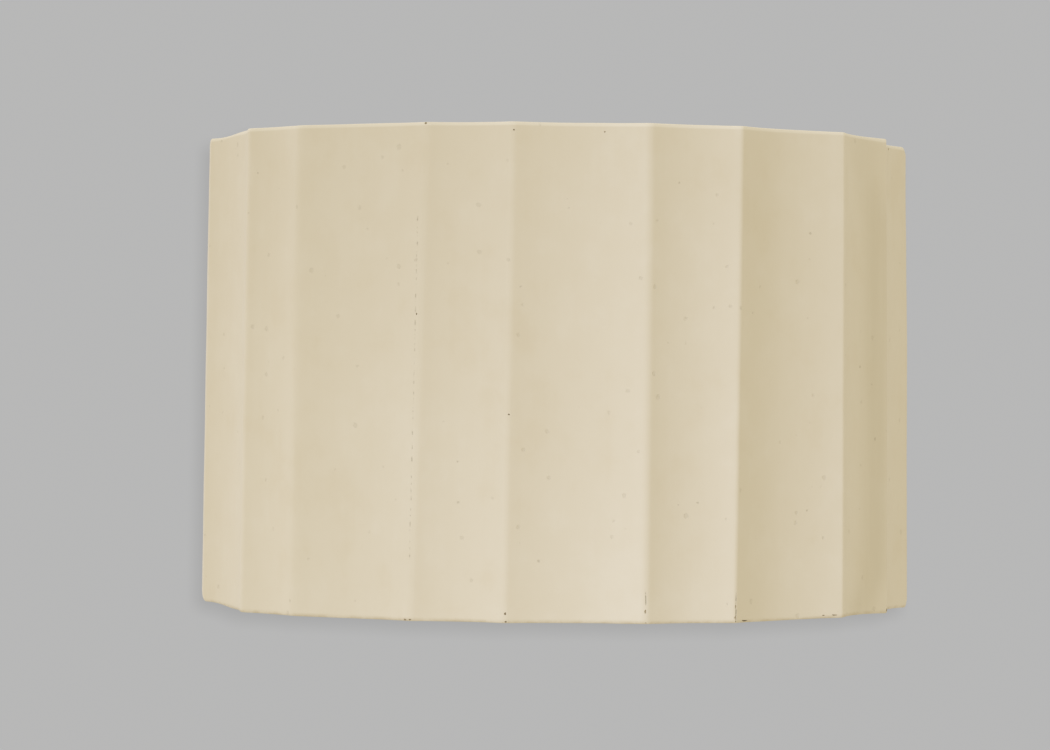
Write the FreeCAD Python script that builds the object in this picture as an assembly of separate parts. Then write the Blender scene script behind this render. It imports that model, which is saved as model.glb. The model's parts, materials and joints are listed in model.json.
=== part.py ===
import FreeCAD, Part
import math
import os

# A fluted half-round plaster wall light that hangs on a steel wall plate with one upright lamp.
# Millimetres and degrees. The wall is the plane y = 0, the room lies towards -y, +x is the
# viewer's right and z = 0 is half the shell's height.

V = FreeCAD.Vector
tiny = 1e-6

# Plaster shell
shell_radius = 150.0            # to the sharp arrises, at half height
shell_height = 200.0
shell_wall = 10.0               # least plaster, behind a wide flute
narrow_flute_angle = 15.0       # share of the half round that each narrow flute takes
end_margin_angle = 5.0          # plain strip beside the wall
wide_flute_depth = 4.8
narrow_flute_depth = 3.3
arris_radius = 2.5
rim_radius = 1.6
mould_draft = 0.45              # the shell is this much wider towards its foot, per side

# Wall plate
plate_sheet = 2.0
plate_width = 72.0
plate_edge = 4.0                # plate below the lamp arm
plate_corner = 6.0
plate_inner_corner = 12.0
strap_height = 36.0
strap_setback = 42.0            # shell's top down to the strap's middle
wall_slot_spacing = 120.0
wall_slot_length = 12.0
wall_slot_width = 5.2

# Hooks on the plate and hangers in the shell
hook_sheet = 2.0
hook_width = 24.0
hook_setback = 28.0             # shell's inside to the middle of a hook
hook_lip = 20.0
hook_drop = 28.0                # strap's middle down to the hook's floor
hook_bend = 0.5
hook_tab = 18.0
hook_tab_height = 28.0
hook_clearance = 0.5
rivet_radius = 2.0
rivet_head_radius = 3.8
rivet_head_height = 1.3
rivet_pitch = 16.0
hanger_sheet = 2.0
hanger_tongue_width = 18.0
hanger_band = 20.0
hanger_corner = 3.0
flange_angle = 18.0             # how far the hanger follows the shell's inside
wad_bed = 4.0                   # plaster behind the hanger's flange
wad_thickness = 14.0
wad_start_angle = 6.0
wad_overlap_angle = 6.0
wad_overlap = 8.0
wad_round = 4.0
wad_bond = 0.1

# Cable entry
cable_bore_radius = 5.0
grommet_neck = 8.0
grommet_flange_radius = 11.0
grommet_flange = 2.0
grommet_round = 0.8
grommet_rise = 39.0             # above the terminal block

# Lamp arm
lamp_reach = 64.0               # wall to the lamp's axis
arm_rise = 20.0                 # shell's foot up to the arm's top face
arm_sheet = 2.0
arm_width = 32.0
arm_leg = 34.0
arm_bend = 2.0
arm_screw_spacing = 18.0
arm_screw_rise = 22.0
arm_screw_radius = 2.0
arm_screw_head_radius = 3.8
arm_screw_head = 2.4
wire_hole_radius = 4.5
wire_hole_reach = 16.0

# Lampholder
nipple_radius = 5.0
nipple_bore = 3.5
nipple_tail = 6.0               # thread showing below the arm's underside
washer_radius = 8.0
washer_sheet = 0.8
nut_flats = 14.0
nut_height = 3.0
holder_radius = 20.0
holder_wall = 2.6
cap_height = 18.0
cap_boss_height = 4.0
cap_rim = 3.0                   # straight rim above the flare
cap_floor = 8.8
spigot_height = 5.0
spigot_wall = 2.0
barrel_height = 40.0
barrel_lip = 2.5
barrel_chamfer = 1.5
barrel_shoulder = 2.4
barrel_mouth_clearance = 0.9
grip_count = 24
grip_radius = 0.9
grip_bottom = 3.0
grip_height = 17.0
core_height = 6.0
socket_sheet = 0.4
socket_height = 19.0
socket_clearance = 0.3
contact_sheet = 0.5
contact_width = 6.0
contact_length = 13.5
contact_step = 4.0              # along the leaf, from its foot to its raised pad
contact_rise = 3.0
contact_bend = 0.8
holder_screw_radius = 1.5
holder_screw_head_radius = 2.6
holder_screw_head = 1.8
holder_screw_depth = 4.0
holder_terminal_reach = 9.0

# Lamp with a 27 mm screw cap
lamp_cap_radius = 13.0
lamp_cap_height = 27.0          # contact tip to the cap's rim
lamp_cap_sheet = 0.4
lamp_cap_rim = 0.4
lamp_cap_taper = 2.0
lamp_length = 108.0
lamp_globe_radius = 30.0
lamp_neck_straight = 6.0        # neck above the cap's rim
lamp_neck_seat = 6.0            # neck inside the cap
glass_wall = 1.0
tip_radius = 4.8
tip_height = 1.5
insulator_height = 3.5
insulator_foot = 0.7            # black glass showing round the tip
insulator_seat = 1.0            # inside the cap
lamp_seat_gap = 0.2

# Terminal block
pole_pitch = 12.0
pole_width = 7.6
pole_depth = 11.0
block_height = 18.0
block_rise = 32.0               # arm's leg up to the block's middle
web_depth = 6.0
web_height = 12.0
tube_radius = 2.6
tube_bore = 1.6
tube_length = 15.0
tube_axis_depth = 6.0
turret_radius = 3.0
turret_height = 3.0
turret_hole = 1.9
turret_spacing = 9.0
clamp_screw_radius = 1.4
clamp_screw_recess = 0.8
clamp_slot = 0.6
block_screw_radius = 1.25
block_screw_head_radius = 2.1
block_screw_head = 1.6

# Wires and earth
wire_radius = 1.1
wire_bend_radius = 6.0
wire_pair_offset = 1.7
wire_grip = 2.0                 # wire's end below the middle of the block
wire_lead = 11.0                # straight wire below the block
wire_gather = 20.0              # above the arm, where the pair comes together
wire_spread = 7.0               # below the lampholder's core, where the pair parts
wire_clear = 1.0                # above the nipple before the pair parts
wire_drop = 13.5                # arm's top face down to the run below it
earth_reach = 24.0
earth_rise = 26.0
earth_lead = 9.0                # straight wire below the block
earth_drop = 18.0               # above the earth screw, where the wire turns down
earth_screw_radius = 2.0
earth_screw_head_radius = 3.8
earth_screw_head = 2.4
earth_washer_radius = 4.5
earth_sheet = 0.8
tag_radius = 4.2
tag_neck = 3.2
tag_barrel_wall = 0.6
tag_barrel_length = 6.0
tag_barrel_rise = 6.5
tag_lap = 1.0                   # tag's neck under its barrel

# Fits
close_fit = 0.05
loose_fit = 0.2
screw_fit = 0.25
slot_share = 0.45               # depth of a driver slot against the head's height
crown_share = 0.45              # rounding of a screw head against its height
slot_width = 1.0

# Levels and places worked out from the sizes above
wide_flute_angle = (180.0 - 2.0 * end_margin_angle - 4.0 * narrow_flute_angle) / 5.0
cavity_radius = (shell_radius * math.cos(math.radians(wide_flute_angle / 2.0))
                 - wide_flute_depth - shell_wall)
shell_foot = -shell_height / 2.0
strap_level = shell_height / 2.0 - strap_setback
arm_level = shell_foot + arm_rise
arm_leg_top = arm_level + arm_leg
block_level = arm_leg_top + block_rise
grommet_level = block_level + grommet_rise
earth_level = arm_level + earth_rise
plate_front = -plate_sheet
arm_front = plate_front - arm_sheet
lamp_y = -lamp_reach
hook_x = cavity_radius - hook_setback
hook_floor = strap_level - hook_drop
hook_inside_back = plate_front - hook_sheet
hook_gap = hanger_sheet + 2.0 * hook_clearance
hanger_back = hook_inside_back - hook_clearance
hanger_front = hanger_back - hanger_sheet
flange_outer = cavity_radius - wad_bed
flange_inner = flange_outer - hanger_sheet
cap_top = arm_level + cap_height
core_bottom = cap_top + spigot_height
core_top = core_bottom + core_height
barrel_top = cap_top + barrel_height
barrel_inner = holder_radius - holder_wall
core_radius = barrel_inner - loose_fit
tip_level = core_top + contact_rise + contact_sheet + lamp_seat_gap
tube_y = plate_front - tube_axis_depth
nipple_foot = arm_level - arm_sheet - nipple_tail


def block(x_range, y_range, z_range):
    corner = V(min(x_range), min(y_range), min(z_range))
    size = [abs(span[1] - span[0]) for span in (x_range, y_range, z_range)]
    return Part.makeBox(size[0], size[1], size[2], corner)


def rod(radius, start, end):
    along = end - start
    return Part.makeCylinder(radius, along.Length, start, along)


def pipe(outer, inner, start, end):
    return rod(outer, start, end).cut(rod(inner, start, end))


def line(start, end):
    return Part.LineSegment(start, end).toShape()


def arc(start, middle, end):
    return Part.Arc(start, middle, end).toShape()


def mirrored(shape):
    return shape.mirror(V(0, 0, 0), V(1, 0, 0))


def spun(steps, base_level):
    """Revolve an (r, z) outline about the lamp's axis; a step of two points is an arc."""
    corners = []
    edges = []
    for step in steps:
        passed = [V(r, lamp_y, base_level + z) for r, z in step]
        if corners and len(passed) == 2:
            edges.append(arc(corners[-1], passed[0], passed[1]))
        elif corners:
            edges.append(line(corners[-1], passed[0]))
        corners.append(passed[-1])
    edges.append(line(corners[-1], corners[0]))
    face = Part.Face(Part.Wire(edges))
    return face.revolve(V(0, lamp_y, 0), V(0, 0, 1), 360)


def arc_point(centre, radius, degrees):
    turn = math.radians(degrees)
    return (centre[0] + radius * math.cos(turn), centre[1] + radius * math.sin(turn))


def bent_strip(points, sheet, inside_radius, x_range):
    """Fold a flat strip of sheet along a (y, z) centre line and give it a width along x."""
    path = [V(x_range[0], y, z) for y, z in points]
    sideways = V(1, 0, 0)
    stations = [[(path[0], (path[1] - path[0]).normalize().cross(sideways))]]
    for before, corner, after in zip(path, path[1:], path[2:]):
        into = (corner - before).normalize()
        out = (after - corner).normalize()
        half_turn = into.getAngle(out) / 2.0
        radius = inside_radius + sheet / 2.0
        setback = radius * math.tan(half_turn)
        centre_way = (out - into).normalize()
        centre = corner + centre_way * (radius / math.cos(half_turn))
        stations.append([
            (corner - into * setback, into.cross(sideways)),
            (centre - centre_way * radius, (into + out).normalize().cross(sideways)),
            (corner + out * setback, out.cross(sideways)),
        ])
    stations.append([(path[-1], (path[-1] - path[-2]).normalize().cross(sideways))])
    edges = []
    ends = []
    for side in (0.5, -0.5):
        last = None
        for station in stations:
            spots = [spot + normal * (sheet * side) for spot, normal in station]
            if last is not None:
                edges.append(line(last, spots[0]))
            else:
                ends.append(spots[0])
            if len(spots) == 3:
                edges.append(arc(spots[0], spots[1], spots[2]))
            last = spots[-1]
        ends.append(last)
    edges.append(line(ends[0], ends[2]))
    edges.append(line(ends[1], ends[3]))
    face = Part.Face(Part.Wire(Part.__sortEdges__(edges)))
    return face.extrude(V(x_range[1] - x_range[0], 0, 0))


def edges_along(shape, direction):
    chosen = []
    for edge in shape.Edges:
        if edge.Curve.TypeId != "Part::GeomLine":
            continue
        if edge.tangentAt(edge.FirstParameter).cross(direction).Length < tiny:
            chosen.append(edge)
    return chosen


def facing_room(shape, x, y, z):
    """Turn a piece made upright so that its top looks into the room, and set it in place."""
    turned = shape.copy()
    turned.rotate(V(0, 0, 0), V(1, 0, 0), 90)
    turned.translate(V(x, y, z))
    return turned


def slotted_screw(radius, length, head_radius, head_height):
    """Pan-head screw standing on z = 0 with its shank below."""
    shank = rod(radius, V(0, 0, -length), V(0, 0, 0))
    head = rod(head_radius, V(0, 0, 0), V(0, 0, head_height))
    crown = [edge for edge in head.Edges if abs(edge.CenterOfMass.z - head_height) < tiny]
    head = head.makeFillet(head_height * crown_share, crown)
    slot_floor = head_height * (1.0 - slot_share)
    slot = block((-head_radius, head_radius), (-slot_width / 2.0, slot_width / 2.0),
                 (slot_floor, head_height))
    return shank.fuse(head).removeSplitter().cut(slot)


def wire_run(points, name):
    """Insulated wire of straight runs joined by tangent arcs."""
    edges = []
    radii = []
    start = points[0]
    for before, corner, after in zip(points, points[1:], points[2:]):
        into = (corner - before).normalize()
        out = (after - corner).normalize()
        half_turn = into.getAngle(out) / 2.0
        shorter = min((corner - before).Length, (after - corner).Length)
        radius = min(0.45 * shorter / math.tan(half_turn), wire_bend_radius / math.sin(half_turn))
        setback = radius * math.tan(half_turn)
        centre_way = (out - into).normalize()
        centre = corner + centre_way * (radius / math.cos(half_turn))
        first = corner - into * setback
        last = corner + out * setback
        edges.append(line(start, first))
        edges.append(arc(first, centre - centre_way * radius, last))
        radii.append(radius)
        start = last
    edges.append(line(start, points[-1]))
    path = Part.Wire(edges)
    section = Part.Wire(Part.Circle(points[0], points[1] - points[0], wire_radius).toShape())
    solid = path.makePipeShell([section], True, False)
    plain_volume = math.pi * wire_radius ** 2 * path.Length
    print(name, "bend radii", [round(radius, 1) for radius in radii],
          "volume against section times length", round(solid.Volume / plain_volume, 4))
    return solid


# Plaster shell

def plan_point(radius, degrees):
    turn = math.radians(degrees)
    return V(radius * math.sin(turn), -radius * math.cos(turn), 0)


def flute(start, end, depth):
    """Circle of one concave flute between two sharp arrises: centre, radius and deepest point."""
    middle = (start + end) * 0.5
    half_chord = (end - start).Length / 2.0
    radius = (half_chord ** 2 + depth ** 2) / (2.0 * depth)
    outwards = V(middle).normalize()
    return middle + outwards * (radius - depth), radius, middle - outwards * depth


def arris_between(first, second, sharp):
    """Round arris that touches two flute circles near their sharp crossing."""
    centre_a, radius_a = first[0], first[1] + arris_radius
    centre_b, radius_b = second[0], second[1] + arris_radius
    between = centre_b - centre_a
    apart = between.Length
    along = (apart ** 2 + radius_a ** 2 - radius_b ** 2) / (2.0 * apart)
    aside = math.sqrt(radius_a ** 2 - along ** 2)
    unit = between * (1.0 / apart)
    normal = V(-unit.y, unit.x, 0)
    spots = [centre_a + unit * along + normal * (aside * side) for side in (1, -1)]
    centre = min(spots, key=lambda spot: (spot - sharp).Length)
    touch_a = centre_a + (centre - centre_a) * (first[1] / radius_a)
    touch_b = centre_b + (centre - centre_b) * (second[1] / radius_b)
    return arris_arc(centre, touch_a, touch_b)


def arris_at_margin(last, sharp, corner):
    """Round arris between the last flute and the plain strip beside the wall."""
    along = (corner - sharp).normalize()
    inwards = V(-along.y, along.x, 0)
    offset = sharp + inwards * arris_radius - last[0]
    reach = last[1] + arris_radius
    half_b = offset.dot(along)
    root = math.sqrt(half_b ** 2 - offset.Length ** 2 + reach ** 2)
    step = min((-half_b + root, -half_b - root), key=abs)
    centre = sharp + along * step + inwards * arris_radius
    touch_flute = last[0] + (centre - last[0]) * (last[1] / reach)
    return arris_arc(centre, touch_flute, sharp + along * step)


def arris_arc(centre, start, end):
    middle = centre + ((start - centre) + (end - centre)).normalize() * arris_radius
    return start, middle, end


def shell_outline(radius, level):
    """Closed plan of the fluted half round at one level."""
    angles = [wide_flute_angle / 2.0]
    depths = [wide_flute_depth]
    for angle, depth in ((narrow_flute_angle, narrow_flute_depth),
                         (wide_flute_angle, wide_flute_depth)) * 2:
        angles.append(angles[-1] + angle)
        depths.append(depth)
    sharps = [plan_point(radius, angle) for angle in angles]
    corner = plan_point(radius, 90.0)
    starts = [plan_point(radius, -angles[0])] + sharps[:-1]
    flutes = [flute(start, end, depth) for start, end, depth in zip(starts, sharps, depths)]
    arrises = [arris_between(first, second, sharp)
               for first, second, sharp in zip(flutes, flutes[1:], sharps)]
    arrises.append(arris_at_margin(flutes[-1], sharps[-1], corner))
    half = []
    for index, arris in enumerate(arrises):
        half.append(arc(arris[0], arris[1], arris[2]))
        if index + 1 < len(arrises):
            half.append(arc(arris[2], flutes[index + 1][2], arrises[index + 1][0]))
    half.append(line(arrises[-1][2], corner))
    front_left = V(-arrises[0][0].x, arrises[0][0].y, 0)
    edges = [mirrored(edge) for edge in half] + half
    edges.append(arc(front_left, flutes[0][2], arrises[0][0]))
    edges.append(line(corner, V(-corner.x, corner.y, 0)))
    outline = Part.Wire(Part.__sortEdges__(edges))
    outline.translate(V(0, 0, level))
    return outline


def make_shell():
    lean = shell_height / 2.0 * math.tan(math.radians(mould_draft))
    head_level = shell_height / 2.0
    sections = [shell_outline(shell_radius + lean, shell_foot),
                shell_outline(shell_radius - lean, head_level)]
    body = Part.makeLoft(sections, True, True)
    rims = []
    for edge in body.Edges:
        box = edge.BoundBox
        level_edge = box.ZLength < tiny
        on_wall = box.YLength < tiny
        if level_edge and not on_wall:
            rims.append(edge)
    body = body.makeFillet(rim_radius, rims)
    body = body.cut(rod(cavity_radius, V(0, 0, shell_foot), V(0, 0, head_level)))
    mouths = [edge for edge in body.Edges
              if edge.BoundBox.ZLength < tiny and edge.Curve.TypeId == "Part::GeomCircle"
              and abs(edge.Curve.Radius - cavity_radius) < tiny]
    return body.makeFillet(rim_radius, mouths)


# Hangers in the shell

def ring_sector(outer, inner, start_angle, end_angle, z_range):
    height = z_range[1] - z_range[0]
    foot = V(0, 0, z_range[0])
    sweep = end_angle - start_angle
    up = V(0, 0, 1)
    ring = Part.makeCylinder(outer, height, foot, up, sweep)
    ring = ring.cut(Part.makeCylinder(inner, height, foot, up, 360))
    ring.rotate(V(0, 0, 0), up, -end_angle)
    return ring


def make_hanger():
    band_range = (strap_level, strap_level + hanger_band)
    inner_edge = hook_x - hanger_tongue_width / 2.0
    depth = (hanger_front, hanger_back)
    band = block((inner_edge, flange_outer), depth, band_range)
    band = band.common(rod(flange_outer, V(0, 0, band_range[0]), V(0, 0, band_range[1])))
    tongue = block((inner_edge, inner_edge + hanger_tongue_width), depth, (hook_floor, band_range[0]))
    flange = ring_sector(flange_outer, flange_inner, 0.0, flange_angle, band_range)
    flange = flange.cut(block((0, flange_outer), (hanger_back, hanger_sheet), band_range))
    plate = band.fuse(tongue).removeSplitter()
    elbow = [edge for edge in edges_along(plate, V(0, 1, 0))
             if abs(edge.CenterOfMass.z - band_range[0]) < tiny
             and edge.CenterOfMass.x > inner_edge + hanger_tongue_width / 2.0
             and edge.CenterOfMass.x < hook_x + hanger_tongue_width]
    plate = plate.makeFillet(hanger_corner, elbow)
    return plate.fuse(flange).removeSplitter()


def make_wad(hanger):
    z_range = (strap_level - wad_overlap, strap_level + hanger_band + wad_overlap)
    inner = cavity_radius - wad_thickness
    wad = ring_sector(cavity_radius - wad_bond, inner, wad_start_angle,
                      flange_angle + wad_overlap_angle, z_range)
    soft = [edge for edge in wad.Edges
            if max(math.hypot(vertex.X, vertex.Y) for vertex in edge.Vertexes) < inner + tiny]
    return wad.makeFillet(wad_round, soft).cut(hanger)


# Wall plate and hooks

def make_wall_plate():
    depth = (plate_front, 0.0)
    half_width = plate_width / 2.0
    strap_half = hook_x + hook_width / 2.0
    strap_bottom = strap_level - strap_height / 2.0
    strap_top = strap_level + strap_height / 2.0
    plate_bottom = arm_level - arm_sheet - plate_edge
    strap = block((-strap_half, strap_half), depth, (strap_bottom, strap_top))
    stem = block((-half_width, half_width), depth, (plate_bottom, strap_top))
    plate = strap.fuse(stem).removeSplitter()
    corners = edges_along(plate, V(0, 1, 0))
    inner = [edge for edge in corners
             if abs(abs(edge.CenterOfMass.x) - half_width) < tiny
             and abs(edge.CenterOfMass.z - strap_bottom) < tiny]
    plate = plate.makeFillet(plate_inner_corner, inner)
    outer = [edge for edge in edges_along(plate, V(0, 1, 0))
             if abs(abs(edge.CenterOfMass.x) - strap_half) < tiny
             or abs(edge.CenterOfMass.z - plate_bottom) < tiny]
    plate = plate.makeFillet(plate_corner, outer)
    for side in (-1, 1):
        plate = plate.cut(wall_slot(side * wall_slot_spacing / 2.0))
    holes = [(0.0, grommet_level, grommet_neck + close_fit),
             (earth_reach, earth_level, earth_screw_radius + close_fit)]
    holes += [(x, arm_level + arm_screw_rise, arm_screw_radius + close_fit) for x in arm_screw_places()]
    holes += [(x, block_level, block_screw_radius + close_fit) for x in block_screw_places()]
    holes += [(side * x, z, rivet_radius + close_fit) for x, z in rivet_places() for side in (-1, 1)]
    for x, z, radius in holes:
        plate = plate.cut(rod(radius, V(x, plate_front, z), V(x, 0, z)))
    return plate


def wall_slot(x):
    radius = wall_slot_width / 2.0
    half = wall_slot_length / 2.0 - radius
    middle = block((x - half, x + half), (plate_front, 0), (strap_level - radius, strap_level + radius))
    ends = [rod(radius, V(x + side * half, plate_front, strap_level), V(x + side * half, 0, strap_level))
            for side in (-1, 1)]
    return middle.fuse(ends)


def rivet_places():
    x = hook_x - hook_width / 2.0 - hook_tab / 2.0
    return [(x, strap_level + side * rivet_pitch / 2.0) for side in (-1, 1)]


def make_hook():
    top = strap_level + hook_tab_height / 2.0
    back = plate_front - hook_sheet / 2.0
    front = hook_inside_back - hook_gap - hook_sheet / 2.0
    floor = hook_floor - hook_sheet / 2.0
    x_range = (hook_x - hook_width / 2.0, hook_x + hook_width / 2.0)
    folded = bent_strip([(back, top), (back, floor), (front, floor), (front, hook_floor + hook_lip)],
                        hook_sheet, hook_bend, x_range)
    tab = block((x_range[0] - hook_tab, x_range[0]), (hook_inside_back, plate_front),
                (top - hook_tab_height, top))
    hook = folded.fuse(tab).removeSplitter()
    for x, z in rivet_places():
        hook = hook.cut(rod(rivet_radius + close_fit, V(x, hook_inside_back, z), V(x, plate_front, z)))
    return hook


def make_rivets():
    grip = plate_sheet + hook_sheet
    dome = Part.makeSphere(rivet_head_radius)
    shrink = rivet_head_height / rivet_head_radius
    squash = FreeCAD.Matrix()
    squash.scale(V(1, 1, shrink))
    dome = dome.transformGeometry(squash)
    dome = dome.common(rod(rivet_head_radius, V(0, 0, 0), V(0, 0, rivet_head_height)))
    rivet = rod(rivet_radius, V(0, 0, -grip), V(0, 0, 0)).fuse(dome).removeSplitter()
    placed = [facing_room(rivet, side * x, hook_inside_back, z)
              for x, z in rivet_places() for side in (-1, 1)]
    return Part.makeCompound(placed)


def make_grommet():
    front = plate_front - grommet_flange
    flange = rod(grommet_flange_radius, V(0, front, grommet_level), V(0, plate_front, grommet_level))
    rim = [edge for edge in flange.Edges if abs(edge.CenterOfMass.y - front) < tiny]
    flange = flange.makeFillet(grommet_round, rim)
    neck = rod(grommet_neck, V(0, plate_front, grommet_level), V(0, 0, grommet_level))
    bore = rod(cable_bore_radius, V(0, front, grommet_level), V(0, 0, grommet_level))
    return flange.fuse(neck).removeSplitter().cut(bore)


# Lamp arm

def arm_screw_places():
    return [side * arm_screw_spacing / 2.0 for side in (-1, 1)]


def make_arm():
    half_width = arm_width / 2.0
    back = plate_front - arm_sheet / 2.0
    shelf = arm_level - arm_sheet / 2.0
    end = lamp_y - half_width
    strip = bent_strip([(back, arm_leg_top), (back, shelf), (end, shelf)], arm_sheet, arm_bend,
                       (-half_width, half_width))
    z_range = (arm_level - arm_sheet, arm_leg_top)
    straight = block((-half_width, half_width), (lamp_y, 0), z_range)
    nose = rod(half_width, V(0, lamp_y, z_range[0]), V(0, lamp_y, z_range[1]))
    arm = strip.common(straight.fuse(nose).removeSplitter())
    crown = [edge for edge in edges_along(arm, V(0, 1, 0))
             if abs(edge.CenterOfMass.z - arm_leg_top) < tiny
             and abs(abs(edge.CenterOfMass.x) - half_width) < tiny]
    arm = arm.makeFillet(plate_corner, crown)
    arm = arm.cut(arm_bore(nipple_radius + loose_fit, lamp_y))
    arm = arm.cut(arm_bore(wire_hole_radius, -wire_hole_reach))
    level = arm_level + arm_screw_rise
    for x in arm_screw_places():
        arm = arm.cut(rod(arm_screw_radius + screw_fit, V(x, arm_front, level), V(x, plate_front, level)))
    return arm


def arm_bore(radius, y):
    return rod(radius, V(0, y, arm_level - arm_sheet), V(0, y, arm_level))


def make_arm_screws():
    screw = slotted_screw(arm_screw_radius, arm_sheet + plate_sheet - close_fit,
                          arm_screw_head_radius, arm_screw_head)
    level = arm_level + arm_screw_rise
    return Part.makeCompound([facing_room(screw, x, arm_front, level) for x in arm_screw_places()])


# Lampholder

def on_axis(z):
    return V(0, lamp_y, z)


def make_nipple():
    return pipe(nipple_radius - close_fit, nipple_bore,
                on_axis(nipple_foot), on_axis(arm_level + cap_floor))


def make_nipple_washer():
    under = arm_level - arm_sheet
    return pipe(washer_radius, nipple_radius + loose_fit, on_axis(under - washer_sheet), on_axis(under))


def make_nipple_nut():
    top = arm_level - arm_sheet - washer_sheet
    corner_radius = nut_flats / 2.0 / math.cos(math.radians(30))
    corners = []
    for index in range(7):
        turn = math.radians(60 * index)
        corners.append(on_axis(top - nut_height) + V(math.cos(turn), math.sin(turn), 0) * corner_radius)
    nut = Part.Face(Part.makePolygon(corners)).extrude(V(0, 0, nut_height))
    return nut.cut(rod(nipple_radius, on_axis(top - nut_height), on_axis(top)))


def make_holder_cap():
    flare = cap_height - cap_boss_height - cap_rim
    flare_level = cap_boss_height + flare
    flare_centre = (holder_radius - flare, flare_level)
    spigot_outer = barrel_inner - loose_fit
    spigot_inner = spigot_outer - spigot_wall
    bowl = flare_level - cap_floor
    bowl_centre = (spigot_inner - bowl, flare_level)
    bore = nipple_radius
    steps = [
        [(bore, 0)],
        [(flare_centre[0], 0)],
        [(flare_centre[0], cap_boss_height)],
        [arc_point(flare_centre, flare, -45), (holder_radius, flare_level)],
        [(holder_radius, cap_height)],
        [(spigot_outer, cap_height)],
        [(spigot_outer, cap_height + spigot_height)],
        [(spigot_inner, cap_height + spigot_height)],
        [(spigot_inner, flare_level)],
        [arc_point(bowl_centre, bowl, -45), (bowl_centre[0], cap_floor)],
        [(bore, cap_floor)],
    ]
    return spun(steps, arm_level)


def make_holder_barrel():
    mouth = lamp_cap_radius + lamp_cap_rim + barrel_mouth_clearance
    shoulder = barrel_inner - barrel_shoulder
    shoulder_level = spigot_height + core_height
    steps = [
        [(barrel_inner, 0)],
        [(holder_radius, 0)],
        [(holder_radius, barrel_height - barrel_chamfer)],
        [(holder_radius - barrel_chamfer, barrel_height)],
        [(mouth, barrel_height)],
        [(mouth, barrel_height - barrel_lip)],
        [(shoulder, barrel_height - barrel_lip)],
        [(shoulder, shoulder_level)],
        [(barrel_inner, shoulder_level)],
    ]
    barrel = spun(steps, cap_top)
    grooves = []
    for index in range(grip_count):
        turn = 2.0 * math.pi * index / grip_count
        foot = on_axis(cap_top + grip_bottom) + V(math.cos(turn), math.sin(turn), 0) * holder_radius
        grooves.append(rod(grip_radius, foot, foot + V(0, 0, grip_height)))
    return barrel.cut(grooves)


def holder_screw_places():
    return [lamp_y + side * holder_terminal_reach for side in (-1, 1)]


def make_holder_core():
    core = rod(core_radius, on_axis(core_bottom), on_axis(core_top))
    for y in holder_screw_places():
        core = core.cut(rod(holder_screw_radius + close_fit, V(0, y, core_bottom),
                            V(0, y, core_bottom + holder_screw_depth)))
    for side in (-1, 1):
        x = side * holder_terminal_reach
        core = core.cut(rod(wire_radius + close_fit, V(x, lamp_y, core_bottom),
                            V(x, lamp_y, core_bottom + holder_screw_depth)))
    return core


def make_holder_screw_shell():
    inner = lamp_cap_radius + socket_clearance
    return pipe(inner + socket_sheet, inner, on_axis(core_top), on_axis(core_top + socket_height))


def make_centre_contact():
    foot = core_top + contact_sheet / 2.0
    top = foot + contact_rise
    pad_end = lamp_y - tip_radius
    pad_start = lamp_y
    points = [(pad_end + contact_length, foot), (pad_start + contact_step, foot),
              (pad_start, top), (pad_end, top)]
    return bent_strip(points, contact_sheet, contact_bend, (-contact_width / 2.0, contact_width / 2.0))


def make_holder_screws():
    screw = slotted_screw(holder_screw_radius, holder_screw_depth - close_fit,
                          holder_screw_head_radius, holder_screw_head)
    screw.rotate(V(0, 0, 0), V(1, 0, 0), 180)
    placed = []
    for y in holder_screw_places():
        one = screw.copy()
        one.translate(V(0, y, core_bottom))
        placed.append(one)
    return Part.makeCompound(placed)


# Lamp

def make_lamp_tip():
    steps = [
        [(0, 0)],
        [(tip_radius - tip_height, 0)],
        [arc_point((tip_radius - tip_height, tip_height), tip_height, -45), (tip_radius, tip_height)],
        [(0, tip_height)],
    ]
    return spun(steps, tip_level)


def make_lamp_insulator():
    top = tip_height + insulator_height
    outer = lamp_cap_radius - lamp_cap_sheet - lamp_cap_taper + loose_fit - close_fit
    steps = [
        [(0, tip_height)],
        [(tip_radius + insulator_foot, tip_height)],
        [(outer, top)],
        [(outer, top + insulator_seat)],
        [(0, top + insulator_seat)],
    ]
    return spun(steps, tip_level)


def make_lamp_cap():
    foot = tip_height + insulator_height
    inner = lamp_cap_radius - lamp_cap_sheet
    taper = lamp_cap_taper
    steps = [
        [(inner - taper + loose_fit, foot)],
        [(lamp_cap_radius - taper + loose_fit, foot)],
        [(lamp_cap_radius, foot + taper)],
        [(lamp_cap_radius, lamp_cap_height - taper)],
        [(lamp_cap_radius + lamp_cap_rim, lamp_cap_height - taper / 2.0)],
        [(lamp_cap_radius + lamp_cap_rim, lamp_cap_height)],
        [(inner, lamp_cap_height)],
        [(inner, foot + taper)],
    ]
    return spun(steps, tip_level)


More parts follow.
